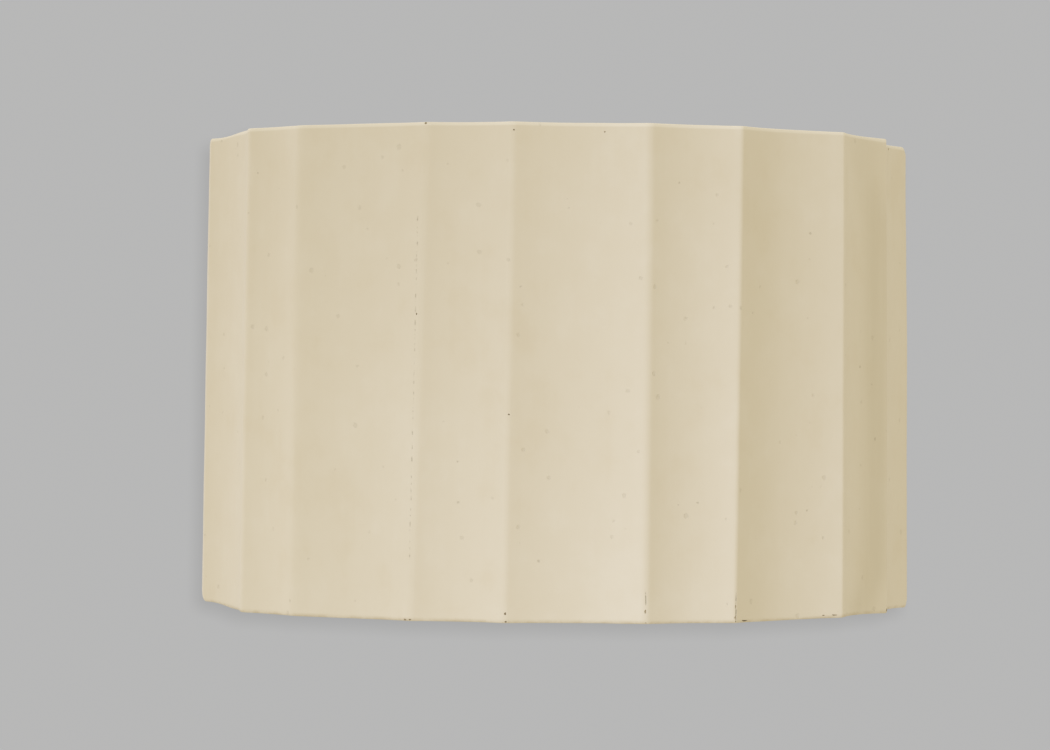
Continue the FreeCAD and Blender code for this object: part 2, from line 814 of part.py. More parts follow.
def make_lamp_glass():
    neck = lamp_cap_radius - lamp_cap_sheet - close_fit * 2.0
    globe_level = lamp_length - lamp_globe_radius
    neck_level = lamp_cap_height + lamp_neck_straight
    foot = lamp_cap_height - lamp_neck_seat
    rise = globe_level - neck_level
    sweep = (rise ** 2 + neck ** 2 - lamp_globe_radius ** 2) / (2.0 * (lamp_globe_radius - neck))
    sweep_centre = (neck + sweep, neck_level)
    meeting = math.degrees(math.atan2(-rise, neck + sweep))
    globe_centre = (0, globe_level)

    def wall(inset):
        globe = lamp_globe_radius - inset
        bow = sweep + inset
        bow_start = 180.0
        bow_end = 180.0 + meeting
        return [
            [(neck - inset, foot)],
            [(neck - inset, neck_level)],
            [arc_point(sweep_centre, bow, (bow_start + bow_end) / 2.0),
             arc_point(globe_centre, globe, meeting)],
            [arc_point(globe_centre, globe, (meeting + 90.0) / 2.0), (0, globe_level + globe)],
        ]

    outside = wall(0.0)
    inside = wall(glass_wall)
    steps = outside + [[(0, globe_level + lamp_globe_radius - glass_wall)]]
    steps += [[inside[3][0], inside[2][1]], [inside[2][0], inside[1][0]], inside[0]]
    return spun(steps, tip_level)


# Terminal block

def pole_places():
    return [-pole_pitch, 0.0, pole_pitch]


def block_screw_places():
    return [-pole_pitch / 2.0, pole_pitch / 2.0]


def turret_levels():
    return [block_level - turret_spacing / 2.0, block_level + turret_spacing / 2.0]


def make_terminal_block():
    pole_front = plate_front - pole_depth
    half_height = block_height / 2.0
    z_range = (block_level - half_height, block_level + half_height)
    web = block((-pole_pitch, pole_pitch), (plate_front - web_depth, plate_front),
                (block_level - web_height / 2.0, block_level + web_height / 2.0))
    body = web
    for x in pole_places():
        pole = block((x - pole_width / 2.0, x + pole_width / 2.0), (pole_front, plate_front), z_range)
        front = [edge for edge in edges_along(pole, V(0, 0, 1))
                 if abs(edge.CenterOfMass.y - pole_front) < tiny]
        body = body.fuse(pole.makeFillet(pole_width / 4.0, front))
        for z in turret_levels():
            body = body.fuse(rod(turret_radius, V(x, pole_front - turret_height, z), V(x, tube_y, z)))
    body = body.removeSplitter()
    for x in pole_places():
        body = body.cut(rod(tube_radius + close_fit, V(x, tube_y, z_range[0]), V(x, tube_y, z_range[1])))
        for z in turret_levels():
            body = body.cut(rod(turret_hole, V(x, pole_front - turret_height, z), V(x, tube_y, z)))
    for x in block_screw_places():
        body = body.cut(rod(block_screw_radius + close_fit * 2.0,
                            V(x, plate_front - web_depth, block_level), V(x, plate_front, block_level)))
    return body


def make_terminal_tubes():
    tubes = []
    half = tube_length / 2.0
    for x in pole_places():
        tube = pipe(tube_radius, tube_bore,
                    V(x, tube_y, block_level - half), V(x, tube_y, block_level + half))
        for z in turret_levels():
            tube = tube.cut(rod(clamp_screw_radius + close_fit,
                                V(x, tube_y - tube_radius, z), V(x, tube_y, z)))
        tubes.append(tube)
    return Part.makeCompound(tubes)


def make_clamp_screws():
    head = plate_front - pole_depth - turret_height + clamp_screw_recess
    tip = tube_y - wire_radius - close_fit
    screws = []
    for x in pole_places():
        for z in turret_levels():
            screw = rod(clamp_screw_radius, V(x, head, z), V(x, tip, z))
            slot = block((x - clamp_screw_radius, x + clamp_screw_radius), (head, head + clamp_slot),
                         (z - clamp_slot / 2.0, z + clamp_slot / 2.0))
            screws.append(screw.cut(slot))
    return Part.makeCompound(screws)


def make_block_screws():
    screw = slotted_screw(block_screw_radius, web_depth + plate_sheet - close_fit,
                          block_screw_head_radius, block_screw_head)
    seat = plate_front - web_depth
    return Part.makeCompound([facing_room(screw, x, seat, block_level) for x in block_screw_places()])


# Wires and earth

def make_lamp_wire(pole, side, name):
    x_pole = pole_places()[pole]
    x_pair = side * wire_pair_offset
    x_terminal = side * holder_terminal_reach
    run_level = arm_level - wire_drop
    points = [
        V(x_pole, tube_y, block_level - wire_grip),
        V(x_pole, tube_y, block_level - block_height / 2.0 - wire_lead),
        V(x_pair, -wire_hole_reach, arm_level + wire_gather),
        V(x_pair, -wire_hole_reach, run_level),
        V(x_pair, lamp_y, run_level),
        V(x_pair, lamp_y, arm_level + cap_floor + wire_clear),
        V(x_terminal, lamp_y, core_bottom - wire_spread),
        V(x_terminal, lamp_y, core_bottom + holder_screw_depth - close_fit),
    ]
    return wire_run(points, name)


def make_earth_wire():
    x_pole = pole_places()[2]
    y_tag = tag_barrel_y()
    points = [
        V(x_pole, tube_y, block_level - wire_grip),
        V(x_pole, tube_y, block_level - block_height / 2.0 - earth_lead),
        V(earth_reach, y_tag, earth_level + earth_drop),
        V(earth_reach, y_tag, earth_level + tag_barrel_rise + tag_lap),
    ]
    return wire_run(points, "earth_wire")


def tag_barrel_y():
    return plate_front - loose_fit - wire_radius - close_fit - tag_barrel_wall


def earth_point(y, rise=0.0):
    return V(earth_reach, y, earth_level + rise)


def make_earth_tag():
    face = plate_front - earth_sheet
    ring = rod(tag_radius, earth_point(face), earth_point(plate_front))
    neck = block((earth_reach - tag_neck / 2.0, earth_reach + tag_neck / 2.0), (face, plate_front),
                 (earth_level, earth_level + tag_barrel_rise + tag_lap))
    y = tag_barrel_y()
    bore = wire_radius + close_fit
    start = earth_point(y, tag_barrel_rise)
    end = earth_point(y, tag_barrel_rise + tag_barrel_length)
    tag = ring.fuse([neck, rod(bore + tag_barrel_wall, start, end)]).removeSplitter()
    tag = tag.cut(rod(bore, start, end))
    return tag.cut(rod(earth_screw_radius + screw_fit, earth_point(face), earth_point(plate_front)))


def make_earth_washer():
    seat = plate_front - earth_sheet
    return pipe(earth_washer_radius, earth_screw_radius + screw_fit,
                earth_point(seat - earth_sheet), earth_point(seat))


def make_earth_screw():
    seat = plate_front - 2.0 * earth_sheet
    screw = slotted_screw(earth_screw_radius, plate_sheet + 2.0 * earth_sheet - close_fit,
                          earth_screw_head_radius, earth_screw_head)
    return facing_room(screw, earth_reach, seat, earth_level)


right_hanger = make_hanger()
right_wad = make_wad(right_hanger)
right_hook = make_hook()

pieces = {
    "plaster_shell": make_shell(),
    "left_hanger": mirrored(right_hanger),
    "right_hanger": right_hanger,
    "left_hanger_wad": mirrored(right_wad),
    "right_hanger_wad": right_wad,
    "wall_plate": make_wall_plate(),
    "left_hook": mirrored(right_hook),
    "right_hook": right_hook,
    "hook_rivets": make_rivets(),
    "cable_grommet": make_grommet(),
    "lamp_arm": make_arm(),
    "arm_screws": make_arm_screws(),
    "holder_nipple": make_nipple(),
    "nipple_washer": make_nipple_washer(),
    "nipple_nut": make_nipple_nut(),
    "holder_cap": make_holder_cap(),
    "holder_barrel": make_holder_barrel(),
    "holder_core": make_holder_core(),
    "holder_screw_shell": make_holder_screw_shell(),
    "holder_centre_contact": make_centre_contact(),
    "holder_terminal_screws": make_holder_screws(),
    "bulb_contact": make_lamp_tip(),
    "bulb_insulator": make_lamp_insulator(),
    "bulb_cap": make_lamp_cap(),
    "bulb_glass": make_lamp_glass(),
    "terminal_block": make_terminal_block(),
    "terminal_tubes": make_terminal_tubes(),
    "terminal_screws": make_clamp_screws(),
    "block_screws": make_block_screws(),
    "live_wire": make_lamp_wire(0, -1, "live_wire"),
    "neutral_wire": make_lamp_wire(1, 1, "neutral_wire"),
    "earth_wire": make_earth_wire(),
    "earth_tag": make_earth_tag(),
    "earth_washer": make_earth_washer(),
    "earth_screw": make_earth_screw(),
}

os.makedirs("parts", exist_ok=True)
for node, shape in pieces.items():
    shape.exportStep("parts/" + node + ".step")
    print(node, "solids", len(shape.Solids), "valid", shape.isValid(), "volume", round(shape.Volume, 1))
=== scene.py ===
import bpy
import json
import math
from mathutils import Matrix, Vector


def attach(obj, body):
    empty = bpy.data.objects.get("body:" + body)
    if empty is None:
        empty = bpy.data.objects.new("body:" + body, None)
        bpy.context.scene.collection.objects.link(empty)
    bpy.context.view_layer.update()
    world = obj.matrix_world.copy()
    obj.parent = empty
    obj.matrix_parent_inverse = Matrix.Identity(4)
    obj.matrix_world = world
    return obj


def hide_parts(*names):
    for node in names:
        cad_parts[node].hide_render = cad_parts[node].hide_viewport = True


# Fluted plaster wall light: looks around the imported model. Metres, wall at y = 0, room towards -y.

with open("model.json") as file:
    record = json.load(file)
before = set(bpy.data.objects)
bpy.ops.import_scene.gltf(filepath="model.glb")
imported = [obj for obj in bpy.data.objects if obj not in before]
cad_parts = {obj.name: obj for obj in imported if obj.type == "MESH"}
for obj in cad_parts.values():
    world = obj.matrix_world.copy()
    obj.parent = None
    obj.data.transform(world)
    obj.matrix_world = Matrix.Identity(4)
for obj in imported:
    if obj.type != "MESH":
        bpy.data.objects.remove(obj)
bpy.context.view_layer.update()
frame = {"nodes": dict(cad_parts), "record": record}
mm = 0.001
scene = bpy.context.scene
lampAxis = Vector((0, -0.064, 0))       # upright line through lampholder and lamp
print("frame loaded,", len(frame["nodes"]), "pieces")


# Small tools for modelling

def deselectAll():
    if bpy.context.object and bpy.context.object.mode != "OBJECT":
        bpy.ops.object.mode_set(mode="OBJECT")
    bpy.ops.object.select_all(action="DESELECT")


def takeUp(obj):
    deselectAll()
    obj.select_set(True)
    bpy.context.view_layer.objects.active = obj


def settle(obj):        # place and turn go into the mesh
    takeUp(obj)
    bpy.ops.object.transform_apply(location=True, rotation=True, scale=True)


def edit(obj):
    takeUp(obj)
    bpy.ops.object.mode_set(mode="EDIT")


def pick(obj, kind, test):      # enters edit mode with only the matching parts selected
    edit(obj)
    bpy.ops.mesh.select_mode(type=kind)
    bpy.ops.mesh.select_all(action="DESELECT")
    bpy.ops.object.mode_set(mode="OBJECT")
    mesh = obj.data
    if kind == "VERT":
        for vertex in mesh.vertices:
            vertex.select = test(vertex.co)
    elif kind == "EDGE":
        for edge in mesh.edges:
            first, second = (mesh.vertices[i].co for i in edge.vertices)
            edge.select = test(first, second)
    else:
        for face in mesh.polygons:
            face.select = test(face.center, face.normal)
    bpy.ops.object.mode_set(mode="EDIT")


def applyModifier(obj, kind, **values):
    takeUp(obj)
    modifier = obj.modifiers.new(kind.lower(), kind)
    for name, value in values.items():
        setattr(modifier, name, value)
    bpy.ops.object.modifier_apply(modifier=modifier.name)


def loosePoint(name, place):        # a mesh of one vertex, ready to be spun or extruded
    deselectAll()
    bpy.ops.mesh.primitive_plane_add(size=0.01, location=place)
    obj = bpy.context.object
    obj.name = name
    settle(obj)
    bpy.ops.object.mode_set(mode="EDIT")
    bpy.ops.mesh.select_mode(type="VERT")
    bpy.ops.mesh.select_all(action="SELECT")
    bpy.ops.mesh.merge(type="CENTER")
    return obj


def joined(first, others):
    takeUp(first)
    for other in others:
        other.select_set(True)
    bpy.ops.object.join()
    return first


def cleaned(obj, distance=1e-5):
    edit(obj)
    bpy.ops.mesh.select_all(action="SELECT")
    bpy.ops.mesh.remove_doubles(threshold=distance)
    bpy.ops.mesh.normals_make_consistent(inside=False)
    bpy.ops.object.mode_set(mode="OBJECT")


def smoothed(obj, degrees):
    takeUp(obj)
    bpy.ops.object.shade_smooth_by_angle(angle=math.radians(degrees))


def placed(obj, body, slot, *nodes):
    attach(obj, body)
    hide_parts(*nodes)


# Plaster shell

shellLook = {
    "radius": 150 * mm,                 # to the sharp arrises at half height
    "halfHeight": 100 * mm,
    "draft": 0.785 * mm,                # wider at the foot, narrower at the head
    "insideRadius": 132.445 * mm,
    "edges": (                          # ends and arrises, in degrees from the front
        -90, -85, -63, -48.5, -24.95, -10.85, 10.72, 25.97, 48.44, 63.3, 85, 90),
    "lean": (0, 0, 0, 0, 0.9, 0.3, 0.1, 0.43, 0.07, -0.07, 0, 0),       # hand-made, half of head less foot
    "depths": (0.02, 4.8, 1.7, 2.5, 3.9, 4.8, 3.9, 5.4, 3.3, 4.8, 0.02),        # each flute, in mm
    "rounding": (2.5, 7.0, 12.0, 4.4, 4.2, 4.6, 2.8, 2.5, 1.8, 2.2),        # each arris, in mm
    "arrisSteps": 6,
    "stepAngle": 0.5,                   # degrees per step along a flute
    "rows": 64,
    "rimCuts": 4,
    "rimRound": 1.6 * mm,
    "rimSegments": 4,
    "sharpAngle": 60,                   # degrees, edges that get the rim's round
    "rimBand": 0.98,                    # share of the half height past which a point is on the rim
    "rimInset": 2 * mm,                 # the droop leaves the inside's own edge alone
    "droops": (                         # worn rims: side, end, from this angle, across, up and reach in mm
        (1, 1, 80, -0.7, -1.9, 100), (1, -1, 60, 0, 1.3, 70),
        (-1, 1, 84, 0, -1.7, 30), (-1, -1, 84, 0, 1.8, 27)),
    "corners": {                        # side and end: the worn corner's width, height, droop, lean in mm
        (-1, -1): (2.5, 6.0, 1.8, 0.0), (-1, 1): (1.8, 3.2, 1.7, 0.0),
        (1, -1): (1.9, 9.0, 1.3, 0.3), (1, 1): (3.0, 7.5, 1.9, 0.9)},
    "cornerTurns": (20, 45, 70),
    "waver": 0.35 * mm,                 # unevenness of the hand-finished faces
    "waverSize": 55 * mm,
    "ripple": 0.10 * mm,
    "rippleSize": 11 * mm,
    "insideSkin": 1.2 * mm,             # faces this near the inside's radius are trowelled
    "smoothAngle": 42,
}


def planPoint(radius, degrees):
    turn = math.radians(degrees)
    return Vector((radius * math.sin(turn), -radius * math.cos(turn), 0))


def fluteCircle(start, end, depth):
    middle = (start + end) / 2
    half = (end - start).length / 2
    radius = (half ** 2 + depth ** 2) / (2 * depth)
    return middle + middle.normalized() * (radius - depth), radius


def arrisCircle(left, right, sharp, radius):    # round arris that touches both flutes
    reachLeft, reachRight = left[1] + radius, right[1] + radius
    between = right[0] - left[0]
    apart = between.length
    along = (apart ** 2 + reachLeft ** 2 - reachRight ** 2) / (2 * apart)
    aside = math.sqrt(reachLeft ** 2 - along ** 2)
    unit = between / apart
    normal = Vector((-unit.y, unit.x, 0))
    spots = [left[0] + unit * along + normal * (aside * side) for side in (1, -1)]
    centre = min(spots, key=lambda spot: (spot - sharp).length)
    return (centre, left[0] + (centre - left[0]) * (left[1] / reachLeft),
            right[0] + (centre - right[0]) * (right[1] / reachRight))


def shellPlan(look, end):       # arcs of the outside at the foot (end -1) or head (end 1)
    radius = look["radius"] - end * look["draft"]
    angles = [angle + end * lean for angle, lean in zip(look["edges"], look["lean"])]
    sharps = [planPoint(radius, angle) for angle in angles]
    flutes = []
    for start, stop, depth in zip(sharps, sharps[1:], look["depths"]):
        flutes.append(fluteCircle(start, stop, depth * mm))
    arrises = [arrisCircle(left, right, sharp, size * mm) for left, right, sharp, size
               in zip(flutes, flutes[1:], sharps[1:], look["rounding"])]
    arcs = []
    start = sharps[0]
    for index, (centre, size) in enumerate(flutes):
        span = look["edges"][index + 1] - look["edges"][index]
        stop = arrises[index][1] if index < len(arrises) else sharps[-1]
        arcs.append((centre, start, stop, round(span / look["stepAngle"])))
        if index < len(arrises):
            arcs.append((arrises[index][0], stop, arrises[index][2], look["arrisSteps"]))
            start = arrises[index][2]
    return sharps[0], arcs


def spinArc(centre, start, stop, steps, level):
    first, last = start - centre, stop - centre
    turn = math.atan2(first.x * last.y - first.y * last.x, first.dot(last))
    bpy.ops.mesh.spin(steps=steps, angle=-turn, center=(centre.x, centre.y, level), axis=(0, 0, 1))


def drawOutside(look, end):
    level = end * look["halfHeight"]
    start, arcs = shellPlan(look, end)
    obj = loosePoint("shellOutside", (start.x, start.y, level))
    for centre, first, last, steps in arcs:
        spinArc(centre, first, last, steps, level)
    bpy.ops.object.mode_set(mode="OBJECT")
    return obj, sum(arc[3] for arc in arcs)


def drawInside(look, end, steps):
    level = end * look["halfHeight"]
    obj = loosePoint("shellInside", (-look["insideRadius"], 0, level))
    bpy.ops.mesh.spin(steps=steps, angle=-math.pi, center=(0, 0, level), axis=(0, 0, 1))
    bpy.ops.object.mode_set(mode="OBJECT")
    return obj


def bridged(cuts):
    bpy.ops.mesh.bridge_edge_loops(number_cuts=cuts, interpolation="LINEAR")
    bpy.ops.object.mode_set(mode="OBJECT")


def makeShell(look):
    foot, steps = drawOutside(look, -1)
    head, steps = drawOutside(look, 1)
    shell = joined(foot, [head])
    pick(shell, "EDGE", lambda a, b: True)
    bridged(look["rows"])
    liner = joined(drawInside(look, -1, steps), [drawInside(look, 1, steps)])
    pick(liner, "EDGE", lambda a, b: True)
    bridged(look["rows"])
    shell = joined(shell, [liner])
    shell.name = "plasterShell"
    for end in (-1, 1):         # rims between outside and inside
        level = end * look["halfHeight"]
        pick(shell, "EDGE", lambda a, b: abs(a.z - level) < 1e-6 and abs(b.z - level) < 1e-6)
        bridged(look["rimCuts"])
    for side in (-1, 1):        # flat backs against the wall
        pick(shell, "EDGE", lambda a, b: abs(a.y) < 1e-5 and abs(b.y) < 1e-5 and a.x * side > 0
             and abs(a.z - b.z) > 1e-4)
        bridged(look["rimCuts"])
    cleaned(shell)
    for vertex in shell.data.vertices:      # backs lie true on the wall
        if abs(vertex.co.y) < 2e-5:
            vertex.co.y = 0
    edit(shell)
    bpy.ops.mesh.select_mode(type="EDGE")
    bpy.ops.mesh.select_all(action="DESELECT")
    bpy.ops.mesh.edges_select_sharp(sharpness=math.radians(look["sharpAngle"]))
    bpy.ops.mesh.bevel(offset=look["rimRound"], segments=look["rimSegments"], affect="EDGES",
                       clamp_overlap=True)
    rim = look["rimBand"] * look["halfHeight"]
    for side, end, angle, across, up, reach in look["droops"]:
        pick(shell, "VERT", lambda spot: spot.x * side > 0 and spot.z * end > rim
             and math.atan2(abs(spot.x), -spot.y) > math.radians(angle)
             and math.hypot(spot.x, spot.y) > look["insideRadius"] + look["rimInset"])
        bpy.ops.transform.translate(value=(across * mm, 0, up * mm), use_proportional_edit=True,
                                    proportional_edit_falloff="SMOOTH", proportional_size=reach * mm)
    for (side, end), (width, height, droop, lean) in look["corners"].items():      # worn round by flat cuts
        reach = look["radius"] - end * look["draft"] - (width + lean) * mm
        for degrees in look["cornerTurns"]:
            across, up = math.cos(math.radians(degrees)), math.sin(math.radians(degrees))
            bpy.ops.mesh.select_all(action="SELECT")
            bpy.ops.mesh.bisect(plane_co=(side * (reach + width * mm * across), 0,
                                          end * (look["halfHeight"] - (droop + height * (1 - up)) * mm)),
                                plane_no=(side * across / width, 0, end * up / height),
                                use_fill=True, clear_outer=True, threshold=1e-6)
    bpy.ops.mesh.select_mode(type="FACE")
    bpy.ops.mesh.select_all(action="DESELECT")
    bpy.ops.mesh.select_face_by_sides(number=4, type="GREATER")
    bpy.ops.mesh.quads_convert_to_tris()
    bpy.ops.object.mode_set(mode="OBJECT")
    return shell


chipLook = {
    "knocks": [             # on arrises and rims: degrees from the front, level, size, depth in mm, tallness
        (-26.9, -99.3, 0.7, 0.6, 0.6), (-26.0, -99.2, 0.5, 0.85, 0.7), (-25.55, 23.0, 0.35, 0.5, 1.5),
        (-10.9, -96.0, 0.45, 0.85, 1.3), (-10.8, -99.2, 0.5, 0.8, 0.7), (-10.62, -16.8, 0.4, 0.8, 0.7),
        (10.6, -94.8, 0.4, 0.95, 2.2), (25.56, -93.0, 0.4, 0.72, 2.6), (25.54, -97.6, 0.48, 0.76, 2.0),
        (25.6, -99.1, 0.6, 0.65, 0.7), (10.7, -99.3, 0.4, 0.8, 0.7),
        (28.1, -98.95, 2.3, 1.05, 0.17), (46.9, -97.8, 1.2, 0.5, 0.3),
        (45.2, -97.9, 0.7, 0.4, 0.45), (63.3, -97.2, 0.5, 0.55, 1.4), (-63.1, -99.3, 0.5, 0.5, 0.8),
        (-24.4, 99.2, 0.6, 0.85, 0.7), (-10.3, 96.4, 0.35, 0.8, 1.0), (4.0, 96.2, 0.35, 0.3, 0.9),
        (63.2, 95.2, 0.4, 0.5, 1.0), (77.3, 96.1, 0.4, 1.05, 1.3),
    ],
    "roughness": 0.25,      # more than this and a knock may cross itself
    "wear": 0.22,           # mm that the waver takes off the drawn surface
}


def surfaceRadius(look, degrees, level):       # outside of the shell along a ray from the wall's middle
    end = level / look["halfHeight"]
    radius = look["radius"] - end * look["draft"]
    edges = [angle + end * lean for angle, lean in zip(look["edges"], look["lean"])]
    for first, last, depth in zip(edges, edges[1:], look["depths"]):
        if first <= degrees <= last:
            centre, size = fluteCircle(planPoint(radius, first), planPoint(radius, last), depth * mm)
            way = planPoint(1, degrees)
            along = centre.dot(way)
            return along - math.sqrt(along ** 2 - centre.length_squared + size ** 2)
    return radius


def makeChips(look, shellSizes):
    chips = []
    for count, (degrees, level, size, depth, tall) in enumerate(look["knocks"]):
        reach = surfaceRadius(shellSizes, degrees, level * mm) + (size - depth - look["wear"]) * mm
        place = planPoint(reach, degrees)
        deselectAll()
        bpy.ops.mesh.primitive_ico_sphere_add(subdivisions=2, radius=size * mm,
                                              location=(place.x, place.y, level * mm))
        chip = bpy.context.object
        settle(chip)
        bpy.ops.object.mode_set(mode="EDIT")
        bpy.ops.mesh.select_all(action="SELECT")
        bpy.ops.transform.vertex_random(offset=size * mm * look["roughness"], uniform=0.6,
                                        normal=0.4, seed=count)
        bpy.ops.transform.resize(value=(1, 1, tall), center_override=(place.x, place.y, level * mm))
        bpy.ops.object.mode_set(mode="OBJECT")
        chips.append(chip)
    return joined(chips[0], chips[1:])


shell = makeShell(shellLook)
for name, size, depth in (("plasterWaver", shellLook["waverSize"], shellLook["waver"]),
                          ("plasterRipple", shellLook["rippleSize"], shellLook["ripple"])):
    texture = bpy.data.textures.new(name, "CLOUDS")
    texture.noise_scale = size
    applyModifier(shell, "DISPLACE", texture=texture, texture_coords="LOCAL", strength=depth, mid_level=1.0)
print("plaster shell,", len(shell.data.polygons), "faces")


# Rough plaster dabs that bed the two hangers

dabLook = {
    "outer": 132.9 * mm,        # a little into the shell's inside
    "thickness": 13.6 * mm,
    "foot": 51 * mm,
    "height": 34 * mm,
    "startAngle": 7.0,          # degrees from the wall
    "endAngle": 23.0,
    "upSteps": 9,
    "turnSteps": 11,
    "round": 4.5 * mm,
    "lumpSize": 9 * mm,
    "lump": 1.6 * mm,
    "grainSize": 2.2 * mm,
    "grain": 0.5 * mm,
    "level": 0.6,               # share of a lump that sinks in
    "cornerAngle": 50,
    "smoothAngle": 60,
}


def makeDab(look, side, name):
    start = math.radians(look["startAngle"])
    turn = math.radians(look["endAngle"] - look["startAngle"])
    dab = loosePoint(name, (side * look["outer"] * math.cos(start), -look["outer"] * math.sin(start),
                            look["foot"]))
    for step in range(look["upSteps"]):
        bpy.ops.mesh.extrude_vertices_move(
            TRANSFORM_OT_translate={"value": (0, 0, look["height"] / look["upSteps"])})
    bpy.ops.mesh.select_all(action="SELECT")
    bpy.ops.mesh.spin(steps=look["turnSteps"], angle=side * turn, center=(0, 0, 0), axis=(0, 0, 1))
    bpy.ops.object.mode_set(mode="OBJECT")
    cleaned(dab)
    outwards = dab.data.polygons[0].normal.dot(dab.data.polygons[0].center) > 0
    applyModifier(dab, "SOLIDIFY", thickness=look["thickness"], offset=-1 if outwards else 1)
    cleaned(dab)
    applyModifier(dab, "BEVEL", width=look["round"], segments=3, limit_method="ANGLE",
                  angle_limit=math.radians(look["cornerAngle"]))
    applyModifier(dab, "SUBSURF", levels=2, render_levels=2)
    for size, depth in ((look["lumpSize"], look["lump"]), (look["grainSize"], look["grain"])):
        texture = bpy.data.textures.new(name, "CLOUDS")
        texture.noise_scale = size
        applyModifier(dab, "DISPLACE", texture=texture, texture_coords="LOCAL", strength=depth,
                      mid_level=look["level"])
    smoothed(dab, look["smoothAngle"])
    return dab


leftDab = makeDab(dabLook, -1, "leftHangerDab")
rightDab = makeDab(dabLook, 1, "rightHangerDab")
print("hanger dabs,", len(leftDab.data.polygons), "faces each")


# Rolled and cut threads on the lamp cap, the socket and the nipple

threadLook = {
    "lampPitch": 3.629 * mm,
    "lampLevel": -40 * mm,              # a crest passes here on the +x side
    "capMiddle": 12.56 * mm,
    "capSwing": 0.44 * mm,
    "capFoot": -39.6 * mm,
    "capHead": -24.8 * mm,
    "socketMiddle": 13.22 * mm,
    "socketSwing": 0.42 * mm,
    "socketFoot": -49.8 * mm,
    "socketHead": -33.4 * mm,
    "nipplePitch": 1.0 * mm,
    "nippleMiddle": 4.70 * mm,
    "nippleSwing": 0.25 * mm,
    "nippleFoot": -87.4 * mm,
    "nippleHead": -71.8 * mm,
    "wavePoints": 12,
    "lampSteps": 72,                    # points round one turn
    "nippleSteps": 40,
    "capRim": ((12.7, -24.2), (12.75, -23.0), (13.3, -22.3),        # radius and level of each ring, in mm
               (13.35, -20.9), (13.2, -20.4), (12.65, -20.3)),
    "capNose": ((12.4, -40.2), (11.9, -41.3), (11.2, -42.1), (10.9, -42.3)),
    "capSheet": 0.3 * mm,
    "socketMouth": ((13.45, -33.0), (13.5, -32.3), (13.6, -32.0)),
    "socketTail": ((13.3, -50.3), (13.3, -51.0)),
    "socketSheet": 0.35 * mm,
    "nippleEnd": ((4.45, 0.3), (4.3, 0.6), (3.7, 0.6), (3.5, 0.4)),     # radius and how far past the thread
    "nippleBore": 3.6 * mm,             # edges inside this radius belong to the bore
    "smoothAngle": 40,
}


def makeThread(look, name, pitch, middle, swing, level, foot, head, steps):
    points = look["wavePoints"]
    turnsBelow = math.ceil((level - foot) / pitch) + 1
    turns = math.ceil((head - foot) / pitch) + 3
    start = level - turnsBelow * pitch
    thread = loosePoint(name, (middle + swing, 0, start))
    last = middle + swing
    for point in range(1, points + 1):          # one wave of the profile, crest to crest
        reach = middle + swing * math.cos(2 * math.pi * point / points)
        bpy.ops.mesh.extrude_vertices_move(
            TRANSFORM_OT_translate={"value": (reach - last, 0, pitch / points)})
        last = reach
    bpy.ops.object.mode_set(mode="OBJECT")
    applyModifier(thread, "SCREW", axis="Z", angle=2 * math.pi, screw_offset=pitch, iterations=turns,
                  steps=steps, render_steps=steps, use_merge_vertices=True, merge_threshold=1e-6)
    cleaned(thread, 1e-6)
    edit(thread)
    for height, way in ((foot, "clear_inner"), (head, "clear_outer")):
        bpy.ops.mesh.select_all(action="SELECT")
        bpy.ops.mesh.bisect(plane_co=(0, 0, height), plane_no=(0, 0, 1), threshold=1e-7, **{way: True})
    bpy.ops.object.mode_set(mode="OBJECT")
    return thread


def growEnd(thread, level, rings):      # extrudes the open end at a level into true round rings
    pick(thread, "EDGE", lambda a, b: abs(a.z - level) < 1e-6 and abs(b.z - level) < 1e-6)
    now = level
    for radius, height in rings:
        bpy.ops.mesh.extrude_edges_move(TRANSFORM_OT_translate={"value": (0, 0, height - now)})
        bpy.ops.transform.tosphere(value=1.0, center_override=(0, 0, height))
        bpy.ops.object.mode_set(mode="OBJECT")
        chosen = [vertex.co for vertex in thread.data.vertices if vertex.select]
        size = sum(math.hypot(spot.x, spot.y) for spot in chosen) / len(chosen)
        bpy.ops.object.mode_set(mode="EDIT")
        bpy.ops.transform.resize(value=(radius / size, radius / size, 1), center_override=(0, 0, height))
        now = height
    bpy.ops.object.mode_set(mode="OBJECT")


def ringSizes(rings):
    return [(radius * mm, level * mm) for radius, level in rings]


def toLampAxis(obj, degrees):
    obj.location = lampAxis
    settle(obj)
    smoothed(obj, degrees)


def makeLampCap(look):
    cap = makeThread(look, "lampCapThread", look["lampPitch"], look["capMiddle"], look["capSwing"],
                     look["lampLevel"], look["capFoot"], look["capHead"], look["lampSteps"])
    growEnd(cap, look["capHead"], ringSizes(look["capRim"]))
    growEnd(cap, look["capFoot"], ringSizes(look["capNose"]))
    cleaned(cap, 1e-6)
    applyModifier(cap, "SOLIDIFY", thickness=look["capSheet"], offset=-1)
    toLampAxis(cap, look["smoothAngle"])
    return cap


def makeSocket(look):
    socket = makeThread(look, "socketThread", look["lampPitch"], look["socketMiddle"], look["socketSwing"],
                        look["lampLevel"], look["socketFoot"], look["socketHead"], look["lampSteps"])
    growEnd(socket, look["socketHead"], ringSizes(look["socketMouth"]))
    growEnd(socket, look["socketFoot"], ringSizes(look["socketTail"]))
    cleaned(socket, 1e-6)
    applyModifier(socket, "SOLIDIFY", thickness=look["socketSheet"], offset=1)
    toLampAxis(socket, look["smoothAngle"])
    return socket


